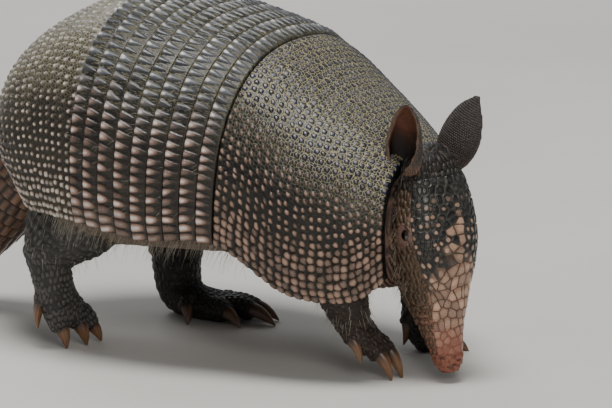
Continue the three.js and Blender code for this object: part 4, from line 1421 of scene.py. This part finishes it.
def tail_armour(material):
    """Rings of horn down the tail, each with a row of scutes and a raised rear edge."""
    rows, columns = 500, 96
    u_fine = np.linspace(0.12, len(TAIL) - 1.02, 400)
    path = tube_point(TAIL, u_fine, 0 * u_fine, -5)
    run = np.concatenate([[0], np.cumsum(np.linalg.norm(np.diff(path, axis=0), axis=1))])
    along = np.linspace(0, run[-1], rows + 1)
    u = np.interp(along, run, u_fine)[:, None]
    t = full_turn(columns)[None, :] + 0 * u
    base = tube_point(TAIL, u + 0 * t, t)
    pitch = np.interp(along, [0, run[-1]], [7.5, 4.5])
    ring = np.concatenate([[0], np.cumsum(np.diff(along) / pitch[1:])])[:, None] + 0.05 * noise(base, 9)
    number = np.floor(ring).astype(int)
    f = ring - number
    count = 24
    place = t / (2 * math.pi) * count + 0.5 * (number % 2)
    x = np.abs(place - np.floor(place) - 0.5)
    tones = np.random.default_rng(51).random((number.max() + 2, count + 1))
    tone = tones[number, np.floor(place).astype(int) % (count + 1)]
    size = np.interp(along, [0, run[-1]], [1.0, 0.35])[:, None]
    plate = ease(0.5, 0.38, x) * ease(0.0, 0.16, f)
    dome = np.sqrt(np.clip(1 - (2 * x) ** 2, 0, 1))
    lift = size * (0.5 * plate + 0.5 * dome * plate + 0.8 * f * ease(1.0, 0.93, f) - 0.5)
    middle = base.mean(axis=1, keepdims=True)
    rings = base + unit(base - middle) * lift[..., None]
    points, quads, fans = closed_loft(rings)
    points[:, 2] = np.maximum(points[:, 2], 0.0)
    dark = ease(0.25, 0.6, along[:, None] / run[-1]) * 0.6
    values = {
        "main": plate * (1 - dark),
        "net": (ease(0.1, 0.0, f) + ease(0.42, 0.5, x)).clip(0, 1),
        # rise: the domes' height, which also lays the painted highlight on their tops
        "rise": plate * dome * (0.5 + 0.5 * f),
        "tone": tone,
        "flank": np.zeros(len(points)),
    }
    build_piece("tail_armour", points, [quads, fans], material, values)


tail_armour(TAIL_HORN)


# ---- scales on the skin ----


def clipped(polygon, place, direction):
    """The part of a polygon that lies behind a line through place, square to direction."""
    heights = [(p - place) @ direction for p in polygon]
    kept = []
    for n, (p, h) in enumerate(zip(polygon, heights)):
        before, h_before = polygon[n - 1], heights[n - 1]
        if (h > 0) != (h_before > 0):
            kept.append(before + (p - before) * (h_before / (h_before - h)))
        if h <= 0:
            kept.append(p)
    return kept


def scale_outlines(width, length, across, along, jitter, rng):
    """Outlines of scales that tile a strip of skin, in staggered rows: (middle, outline) in millimetres.

    width, length: the strip's size; across, along: pitch of the scales."""
    rows, columns = int(length / along) + 1, int(width / across) + 1
    seeds = {}
    for r in range(-1, rows + 1):
        for k in range(-1, columns + 1):
            shift = rng.normal(0, jitter, 2)
            seeds[r, k] = np.array([r + 0.5 + shift[0], k + (r % 2) * 0.5 + shift[1]])
    outlines = []
    size = np.array([along, across])
    for (r, k), seed in seeds.items():
        if not (0 <= r < rows and 0 <= k < columns):
            continue
        outline = [seed + np.array(corner) for corner in ((-1, -1), (1, -1), (1, 1), (-1, 1))]
        for dr in (-1, 0, 1):
            for dk in (-2, -1, 0, 1, 2):
                other = seeds.get((r + dr, k + dk))
                if other is not None and (dr or dk) and len(outline) > 2:
                    outline = clipped(outline, (seed + other) / 2, other - seed)
        if len(outline) > 2:
            outlines.append((seed * size, np.array(outline) * size))
    return outlines


# Profile of one scale from rim to middle: share of its outline, share of its height.
FULL_PROFILE = [(1.0, -0.9), (0.96, 0.42), (0.68, 0.92)]
PLAIN_PROFILE = [(1.0, -0.8), (0.8, 0.7)]


class ScaleCoat:
    """Gathers scales from all regions of the body into one closed-scale mesh over the skin."""

    def __init__(self, hide, seed):
        mesh = hide.data
        shift = Vector((SNOUT_TO_MIDDLE, 0, 0))
        places = [tuple(v.co / MM - shift) for v in mesh.vertices]
        self.hide = BVHTree.FromPolygons(places, [tuple(p.vertices) for p in mesh.polygons])
        self.rng = np.random.default_rng(seed)
        self.points, self.faces, self.uv = [], [], []
        self.values = {"tone": [], "rim": [], "pale": []}
        self.count = 0

    def add_region(self, size, pitch, place, height, uv_box, keep, pale, gap, fill=1.0,
                   full=True, jitter=0.1):
        """Scales over one region.

        size: (length, width) of the strip; pitch: (along, across); place(x, y): points on the body;
        height(x, y): of a scale; keep(x, y), pale(x, y): whether a scale grows there and how pale it is;
        gap: millimetres left round it; fill: how much of its cell it covers; full: whether it gets a rounded
        outline and a stepped rim; jitter: how far the scales stray, in cells;
        uv_box: the region's place in the texture map."""
        outlines = scale_outlines(size[1], size[0], pitch[1], pitch[0], jitter, self.rng)
        profile = FULL_PROFILE if full else PLAIN_PROFILE
        for middle, outline in outlines:
            chance, tone, spread = self.rng.random(3)
            if chance > keep(*middle):
                continue
            if full:
                after = np.roll(outline, -1, axis=0)
                outline = np.stack([0.75 * outline + 0.25 * after, 0.25 * outline + 0.75 * after], axis=1)
                outline = outline.reshape(-1, 2)
            centre = outline.mean(axis=0)
            arms = outline - centre
            radius = np.linalg.norm(arms, axis=1).mean()
            shrink = max(fill * (1 - 0.25 * (1 - fill) * spread) - gap / radius, 0.2)
            rings = [centre + arms * shrink * share for share, _ in profile] + [centre[None, :]]
            flat = np.concatenate(rings)
            top = height(*middle)
            heights = np.concatenate([np.full(len(arms), top * level) for _, level in profile] + [[top]])
            share = np.concatenate([np.full(len(arms), part) for part, _ in profile] + [[0.0]])
            sides, rounds = len(arms), len(profile)
            faces = grid_faces(rounds - 1, sides, self.count, closed=True)
            k = np.arange(sides)
            last = self.count + (rounds - 1) * sides
            tip = np.full(sides, self.count + rounds * sides)
            fan = np.stack([last + k, last + (k + 1) % sides, tip], axis=-1)
            base = np.stack([np.full(sides - 2, 0), k[2:], k[1:-1]], axis=-1) + self.count
            lifted = np.concatenate([flat, heights[:, None]], axis=1)
            self.points.append((place, lifted))
            self.faces.append((faces, np.concatenate([fan, base])))
            root = np.array(uv_box[:2]) + np.array(uv_box[2:]) * np.clip(middle / np.array(size), 0, 1)
            patch = root + 0.0015 * np.concatenate([(ring - centre) / max(radius, 1e-6) for ring in rings])
            self.uv.append(patch)
            amount = len(flat)
            self.values["tone"].append(np.full(amount, tone))
            self.values["rim"].append(share)
            self.values["pale"].append(np.full(amount, pale(*middle)))
            self.count += amount

    def build(self, name, material):
        """Lays the scales on the skin and makes the piece."""
        placed = []
        for place in dict.fromkeys(place for place, _ in self.points):
            blocks = [n for n, (owner, _) in enumerate(self.points) if owner is place]
            flat = np.concatenate([self.points[n][1] for n in blocks])
            step = 0.2
            base = place(flat[:, 0], flat[:, 1])
            along = place(flat[:, 0] + step, flat[:, 1]) - base
            across = place(flat[:, 0], flat[:, 1] + step) - base
            normals = unit(np.cross(along, across)) * place.outward
            landed = np.array([self.hide.find_nearest(spot)[0] for spot in base.tolist()])
            laid = landed + normals * flat[:, 2:3]
            ends = np.cumsum([len(self.points[n][1]) for n in blocks])
            placed += list(zip(blocks, np.split(laid, ends[:-1])))
        placed.sort(key=lambda pair: pair[0])
        points = np.concatenate([block for _, block in placed])
        points[:, 2] = np.maximum(points[:, 2], 0.0)
        quads = np.concatenate([block[0] for block in self.faces])
        fans = np.concatenate([block[1] for block in self.faces])
        roots = np.concatenate(self.uv)
        uv = np.concatenate([roots[quads.ravel()], roots[fans.ravel()]])
        values = {key: np.concatenate(blocks) for key, blocks in self.values.items()}
        return build_piece(name, points, [quads, fans], material, values, uv)


HEAD_RADIUS = 18.0  # of the round that the head's scales are laid out on
CHEEK_TURN = -130.0  # the angle from mid-face where its strips start
CHEEK_EDGE = 128  # and where the scales end, on both sides
CHEEK_TO, SNOUT_LENGTH = 0.66, 0.28  # shares of the head's length: where its cheeks end, and the snout


def place_by(function, outward_sign):
    """A place function that also says on which side of it the outside is."""
    function.outward = outward_sign
    return function


def head_strip(from_share):
    """Places on the head from a share of its length: x runs down it, y round it, in millimetres."""

    def place(x, y):
        a = (np.asarray(x) + from_share * HEAD_LENGTH) / HEAD_LENGTH
        return from_head(head_point(a, np.radians(CHEEK_TURN) + np.asarray(y) / HEAD_RADIUS))

    return place_by(place, -1.0)


def tube_strip(stations, length, radius):
    """Places on a limb: x runs down its length, y round it."""

    def place(x, y):
        u = np.clip(np.asarray(x) / length, 0, 1) * (len(stations) - 1)
        return tube_point(stations, u, np.asarray(y) / radius)

    return place_by(place, -1.0)


def ear_strip(side, radius):
    """Places on an ear: x runs up it, y round its back."""

    def place(x, y):
        return ear_point(side, np.clip(np.asarray(x) / EAR_LENGTH, 0, 1), np.asarray(y) / radius - 1)

    return place_by(place, -side)


def tube_length(stations):
    """Millimetres from the first station to the last."""
    places = np.asarray(stations, float)[:, :3]
    return np.linalg.norm(np.diff(places, axis=0), axis=1).sum()


def head_scales(hide, material):
    """Cheek scales, long scales down the snout and small ones on the crown."""
    coat = ScaleCoat(hide, 31)
    round_head = math.radians(-2 * CHEEK_TURN) * HEAD_RADIUS
    ahead = CHEEK_TO * HEAD_LENGTH

    def keep(x, y):
        turn, a = CHEEK_TURN + math.degrees(y / HEAD_RADIUS), x / HEAD_LENGTH
        inside = SHIELD_FROM < a < PLATES_TO - 0.01 and abs(turn) < math.degrees(shield_reach(a)) + 1.5
        spot = head_point(a, np.radians(turn))
        near_eye = np.linalg.norm(spot - mirrored(EYE_PLACE, np.sign(turn))) < EYE_CLEAR
        return 0.0 if inside or near_eye or abs(turn) > CHEEK_EDGE or a > PLATES_TO else 1.0

    def pale(x, y):
        turn, a = CHEEK_TURN + math.degrees(y / HEAD_RADIUS), x / HEAD_LENGTH
        return float(0.5 * ease(0.1, 0.2, a) + 0.5 * ease(0.62, 0.82, a + 0.08 * (1 - abs(turn) / 60)))

    coat.add_region((ahead, round_head), (4.0, 2.9), head_strip(0.0),
                    lambda x, y: 0.45 if x / HEAD_LENGTH < CHEEK_TO else 0.28, (0, 0, 0.66, 1.0),
                    keep, pale, gap=0.24, jitter=0.17)
    coat.add_region((SNOUT_LENGTH * HEAD_LENGTH, round_head), (3.2, 4.2), head_strip(CHEEK_TO),
                    lambda x, y: 0.24, (0.68, 0, 0.3, 1.0), lambda x, y: keep(x + ahead, y),
                    lambda x, y: pale(x + ahead, y), gap=0.3, jitter=0.14)
    return coat.build("head_scales", material)


def ear_scales(hide, material):
    """Fine pebbles on the backs of the ears."""
    coat = ScaleCoat(hide, 32)
    radius = 17.0
    for n, side in enumerate((1, -1)):
        coat.add_region((EAR_LENGTH, 2 * radius), (1.15, 1.0), ear_strip(side, radius), lambda x, y: 0.26,
                        (0.5 * n, 0, 0.48, 1.0), lambda x, y: float(2 < x < EAR_LENGTH - 1.0),
                        lambda x, y: float(ease(0.45, 0.1, x / EAR_LENGTH)), gap=0.12, full=False)
    return coat.build("ear_scales", material)


def limb_scales(hide, material):
    """Round scales scattered on the legs, and close plates on the feet and toes."""
    coat = ScaleCoat(hide, 33)

    def cover(stations, radius, pitch, height, box, share, paleness, **how):
        """Scales round one tube, with a share of its cells filled."""
        length = tube_length(stations)
        coat.add_region((length, 2 * math.pi * radius), pitch, tube_strip(stations, length, radius),
                        lambda x, y: height, box, lambda x, y: share, lambda x, y: paleness, **how)

    for n, (name, limb) in enumerate(LEGS.items()):
        # the left limbs keep the darkest scales as painted shade; on the right the hind scales are paler and
        # greyer than the fore ones by their own colour
        paleness = {"hind_right": 1.0, "fore_right": 0.5}.get(name, 0.0)
        pitch = (3.6, 3.2) if name.startswith("hind") else (3.0, 2.8)
        leg, foot = (float(np.mean([station[3:] for station in limb[kind]])) for kind in ("leg", "foot"))
        cover(limb["leg"], leg, pitch, 0.34, (0.25 * n, 0, 0.08, 1.0), 0.7, paleness,
              gap=0.2, fill=0.66, full=False, jitter=0.24)
        cover(limb["foot"], foot, (2.9, 2.6), 0.36, (0.25 * n + 0.085, 0, 0.07, 1.0), 0.9, paleness,
              gap=0.22, fill=0.85, jitter=0.2)
        for k, toe in enumerate(limb["toes"]):
            box = (0.25 * n + 0.16, 0.2 * k, 0.07, 0.18)
            cover(toe_stations(toe), toe[2], (2.3, 2.4), 0.34, box, 1.0, paleness,
                  gap=0.2, fill=0.9, jitter=0.08)
    return coat.build("limb_scales", material)


def scale_material(name, dark, middling, pale, rim, gloss, coat=0.08):
    """Small horny scales: dark, middling or pale by region, their rims shaded, each with its own tone."""
    material, tree, shader = principled(name, coat=coat, coat_roughness=0.3, specular=0.5)
    grain = grain_in(tree)
    paleness = reading(tree, "pale")
    colour = mix_colour(tree, ramp(tree, paleness, 0.0, 0.5), srgb(dark), srgb(middling))
    colour = mix_colour(tree, ramp(tree, paleness, 0.5, 1.0), colour, srgb(pale))
    colour = shaded(tree, colour, ramp(tree, reading(tree, "tone"), 0.0, 1.0, 0.75, 1.3))
    edge = ramp(tree, reading(tree, "rim"), 0.88, 1.0)
    edge = maths(tree, "MULTIPLY", edge, ramp(tree, paleness, 0.0, 0.4, 0.1, 0.75))
    colour = mix_colour(tree, edge, colour, srgb(rim))
    set_surface(tree, shader, grain, colour, (0.82, 1.16), (gloss, gloss + 0.18))
    bumpy(tree, shader, [(grain["Grain"], 0.4, 0.0002)])
    return material


head_scales(HIDE, scale_material("scales of the face", "1d1b19", "2b211a", "8f6a56", "5d4b38", 0.42))
ear_scales(HIDE, scale_material("pebbles of the ears", "46403d", "554a44", "7c6050", "2b2522", 0.5, 0.0))
limb_scales(HIDE, scale_material("scales of the limbs", "171310", "312218", "484441", "221d19", 0.33))


# ---- hairs ----


# How many hairs grow on each side, or on each leg, and how long they are in millimetres.
HAIRS = {"margin": (330, 9.5), "bands": (420, 4.5), "throat": (260, 6.0), "leg": (120, 5.5)}
HAIR_RADIUS = 0.11


def hairs(material):
    """Sparse pale bristles: along the shell's margin, between the bands, under the jaw and on the legs."""
    rng = np.random.default_rng(61)
    roots, ways, lengths, patches = [], [], [], []

    def grow(place, way, length, patch):
        roots.append(place)
        ways.append(unit(np.asarray(way) + rng.normal(0, 0.22, 3)))
        lengths.append(length * rng.uniform(0.6, 1.15))
        patches.append(patch)

    for side in (-1, 1):
        number, length = HAIRS["margin"]  # under the margin of the bands and of the hip shield
        for _ in range(number):
            u = rng.uniform(BANDS_FROM - 0.4, 7.2)
            t = side * math.radians(torso_size("edge", u) + rng.uniform(-3, 9))
            place = torso_point(u, t, SHELL_THICK + 1.0)
            grow(place, (-0.45, 0.25 * side, -1), length, (u / 8, 0.02 + 0.1 * (side + 1)))
        number, length = HAIRS["bands"]  # from under their rear edges
        for _ in range(number):
            u = BANDS_FROM + rng.integers(1, BAND_COUNT + 1) * (BANDS_TO - BANDS_FROM) / BAND_COUNT
            t = side * math.radians(rng.uniform(20, 100))
            place = torso_point(u, t, 0.6)
            out = unit(place - SHELL_CORE)
            grow(place, out * 0.45 + [-1, 0, -0.25], length, (u / 8, 0.4 + 0.1 * (side + 1)))
        number, length = HAIRS["throat"]  # and under the jaw
        for _ in range(number):
            a, t = rng.uniform(0.05, 0.6), math.radians(rng.uniform(95, 178))
            local = head_point(a, t)
            place = from_head(local * [1, side, 1])
            out = unit((local - [a * HEAD_LENGTH, 0, 0]) * [1, side, 1]) @ HEAD_AXES
            way = out * 0.8 + HEAD_AXES[0] * 0.8 + [0, 0, -0.3]
            grow(place, way, length, (a, 0.7 + 0.1 * (side + 1)))
    for limb in LEGS.values():
        stations = limb["leg"]
        number, length = HAIRS["leg"]
        for _ in range(number):
            u, t = rng.uniform(0.2, len(stations) - 1.2), rng.uniform(0, 2 * math.pi)
            place = tube_point(stations, np.array([u]), np.array([t]))[0]
            core = tube_point(stations, np.array([u]), np.array([t]), -8)[0]
            grow(place, unit(place - core) * 0.6 + [0.1, 0, -1], length, (u / 4, 0.95))
    count, joints, sides = len(roots), 5, 3
    share = np.linspace(0, 1, joints)[None, :, None]
    roots, ways, lengths = np.array(roots), np.array(ways), np.array(lengths)[:, None, None]
    bend = np.array([0.0, 0, -0.35]) + rng.normal(0, 0.1, (count, 1, 3))
    middles = roots[:, None, :] + lengths * (ways[:, None, :] * share + bend * share**2)
    across = unit(np.cross(ways, [0.3, 0.2, 0.9]))[:, None, :]
    beside = np.cross(ways[:, None, :], across)
    thick = HAIR_RADIUS * (1 - 0.8 * share)
    t = full_turn(sides)
    circle = [across * np.cos(angle) + beside * np.sin(angle) for angle in t]
    rings = np.stack([middles + thick * way for way in circle], axis=2)
    points = rings.reshape(-1, 3)
    points[:, 2] = np.maximum(points[:, 2], 0.0)
    strand = grid_faces(joints - 1, sides, closed=True)
    last = sides * (joints - 1)
    ends = np.array([[2, 1, 0], [last, last + 1, last + 2]])
    starts = (np.arange(count) * joints * sides)[:, None, None]
    faces = [(block[None] + starts).reshape(-1, block.shape[1]) for block in (strand, ends)]
    root_uv = np.repeat(np.array(patches), joints * sides, axis=0)
    down, round_it = np.meshgrid(np.linspace(0, 0.003, joints), t / 2000, indexing="ij")
    spread = np.stack([down.ravel(), round_it.ravel()], axis=-1)
    uv = np.clip(root_uv + np.tile(spread, (count, 1)), 0, 1)
    tone = {"tone": np.repeat(rng.random(count), joints * sides)}
    corners = np.concatenate([uv[block.ravel()] for block in faces])
    build_piece("hairs", points, faces, material, tone, corners)


def hair_material():
    """Pale bristles, each with its own tone."""
    material, tree, shader = principled("pale bristles", specular=0.4)
    grain = grain_in(tree)
    colour = mix_colour(tree, reading(tree, "tone"), srgb("8d8473"), srgb("c9c2b2"))
    set_surface(tree, shader, grain, colour, (0.85, 1.12), (0.4, 0.6))
    return material


hairs(hair_material())


# ---- eyes and claws ----


def eyes():
    """Dark wet eyeballs with a brown iris that hardly shows."""
    material, tree, shader = principled("eye", coat=1.0, coat_roughness=0.03, specular=0.6)
    grain = grain_in(tree, Fine=900.0)
    colour = mix_colour(tree, ramp(tree, reading(tree, "iris"), 0.2, 0.8), srgb("0b0706"), srgb("2a1710"))
    tree.links.new(shaded(tree, colour, grained(tree, grain, 0.8, 1.2)), shader.inputs["Base Color"])
    shader.inputs["Roughness"].default_value = 0.08
    polar = np.linspace(0, math.pi, 33)[1:-1, None]
    turn = full_turn(48)[None, :]
    for name, side in (("left", 1), ("right", -1)):
        place, out, down, front = eye_axes(side)
        rings = (
            place
            + EYE_RADIUS * np.cos(polar)[..., None] * out
            + EYE_RADIUS * (np.sin(polar) * np.cos(turn))[..., None] * down
            + EYE_RADIUS * (np.sin(polar) * np.sin(turn))[..., None] * front
        )
        points, quads, fans = closed_loft(rings)
        values = {"iris": ease(0.75, 0.55, polar) * ease(0.25, 0.35, polar) + 0 * turn}
        piece = build_piece(f"eyeball_{name}", points, [quads, fans], material, values)
        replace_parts(piece, f"eye_{name}")


CLAW_SHARES = [0, 0.3, 0.7, 1]
CLAW_WIDE = [0.8, 0.66, 0.4, 0.08]
CLAW_TALL = [0.8, 0.7, 0.44, 0.1]


def claw_rings(toe):
    """Rings of a hooked claw, with a ridge along its back and a hollow under it."""
    _, end, radius, length, tip = toe
    reach = unit(np.array(tip, float))
    side = unit(np.array([0, 1, 0]) - reach * reach[1])
    top = -np.cross(side, reach)
    top = top if top[2] >= 0 else -top
    share = np.linspace(0, 1, 30)[:, None]
    t = full_turn(28)[None, :]
    wide = radius * np.interp(share, CLAW_SHARES, CLAW_WIDE) * (1 - 0.06 * np.sin(t * 3))
    tall = radius * np.interp(share, CLAW_SHARES, CLAW_TALL)
    tall = tall * np.where(np.sin(t) > 0, 1.0, 0.72 + 0.3 * (np.cos(t) ** 2))
    arch = 0.11 * length * (1 - (share - 0.4) ** 2 / 0.36) - 0.3
    middle = np.array(end, float) + reach * (share * length - 0.6)[..., None] + top * arch[..., None]
    middle = middle + 0 * t[..., None]
    return middle + side * (wide * np.cos(t))[..., None] + top * (tall * np.sin(t))[..., None]


def claws():
    """Horn claws: tan, browner at the root, with streaks along them; a little soil on all, and painted shade
    on the left feet.
    """
    material, tree, shader = principled("horn of the claws", coat=0.15, coat_roughness=0.2, specular=0.55)
    grain = grain_in(tree, Fine=1500.0)
    shade = ramp(tree, reading(tree, "along"), 0.0, 0.5)
    warm = mix_colour(tree, shade, srgb("3c281c"), srgb("7d593c"))
    colour = mix_colour(tree, reading(tree, "soil_and_shade"), warm, srgb("33241b"))
    colour = shaded(tree, colour, ramp(tree, reading(tree, "streak"), 0.0, 1.0, 0.8, 1.15))
    set_surface(tree, shader, grain, colour, (0.85, 1.12), (0.32, 0.5))
    bumpy(tree, shader, [(grain["Grain"], 0.3, 0.0002)])
    for name, limb in LEGS.items():
        for n, toe in enumerate(limb["toes"]):
            rings = claw_rings(toe)
            points, quads, fans = closed_loft(rings)
            points[:, 2] = np.maximum(points[:, 2], 0.0)
            share = np.linspace(0, 1, rings.shape[0])[:, None]
            t = full_turn(rings.shape[1])[None, :]
            streak = 0.5 + 0.5 * np.sin(9 * t + 5 * noise(rings, 7))
            # a little soil on every claw; the left feet's claws are far darker, which is painted shade
            soil_and_shade_share = 0.75 if name.endswith("left") else 0.15
            values = {
                "along": np.concatenate([(share + 0 * t).ravel(), [0, 1]]),
                "streak": streak,
                "soil_and_shade": np.full(len(points), soil_and_shade_share) * (0.7 + 0.3 * noise(points, 4)),
            }
            piece = build_piece(f"horn_{name}_{n + 1}", points, [quads, fans], material, values)
            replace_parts(piece, f"claw_{name}_{n + 1}")


eyes()
claws()


# ---- floor, light and camera ----

VIEW_WIDTH = 0.306  # metres across the picture at the animal
VIEW_TURN = 34.0  # degrees round from the animal's right side
VIEW_TILT = 12.0
VIEW_DISTANCE = 7.0
SENSOR = 36.0
TARGET = Vector((0.1862, -0.0304, 0.0851))


def stage():
    """A pale round floor."""
    material, tree, shader = principled("pale floor", specular=0.3)
    grain = grain_in(tree, Broad=3.0)
    colour = mix_colour(tree, ramp(tree, grain["Blotch"], 0.3, 0.7), srgb("cfcdc8"), srgb("d8d6d1"))
    tree.links.new(colour, shader.inputs["Base Color"])
    shader.inputs["Roughness"].default_value = 0.85
    mesh = bpy.data.meshes.new("floor")
    shape = bmesh.new()
    bmesh.ops.create_circle(shape, cap_ends=True, radius=12, segments=96)
    shape.to_mesh(mesh)
    shape.free()
    mesh.materials.append(material)
    floor = bpy.data.objects.new("floor", mesh)
    bpy.context.scene.collection.objects.link(floor)


def area_light(name, place, size, power, colour):
    """A round lamp that faces the animal."""
    light = bpy.data.lights.new(name, "AREA")
    light.shape = "DISK"
    light.size = size
    light.energy = power
    light.color = colour
    lamp = bpy.data.objects.new(name, light)
    lamp.location = place
    lamp.rotation_euler = (TARGET - Vector(place)).to_track_quat("-Z", "Y").to_euler()
    bpy.context.scene.collection.objects.link(lamp)


def lights():
    """Soft light from above, fill from the front and the rear, and a dim sky."""
    area_light("sky", (0.3, -0.3, 2.6), 1.2, 58, (1.0, 0.985, 0.965))
    area_light("window", (1.6, -1.5, 1.1), 0.8, 13, (1.0, 0.97, 0.93))
    area_light("rear", (-1.6, 1.2, 1.6), 1.2, 14, (0.97, 0.98, 1.0))
    world = bpy.data.worlds.new("studio")
    world.use_nodes = True
    background = world.node_tree.nodes["Background"]
    background.inputs["Color"].default_value = (0.92, 0.94, 0.97, 1)
    background.inputs["Strength"].default_value = 0.27
    bpy.context.scene.world = world


def camera():
    """A far camera with a long lens, so that the picture has hardly any perspective."""
    turn, tilt = math.radians(VIEW_TURN), math.radians(VIEW_TILT)
    back = Vector((math.sin(turn) * math.cos(tilt), -math.cos(turn) * math.cos(tilt), math.sin(tilt)))
    lens = bpy.data.cameras.new("camera")
    lens.sensor_width = SENSOR
    lens.lens = SENSOR * VIEW_DISTANCE / VIEW_WIDTH
    lens.clip_end = 50
    eye = bpy.data.objects.new("camera", lens)
    eye.location = TARGET + back * VIEW_DISTANCE
    eye.rotation_euler = back.to_track_quat("Z", "Y").to_euler()
    bpy.context.scene.collection.objects.link(eye)
    bpy.context.scene.camera = eye


stage()
lights()
camera()
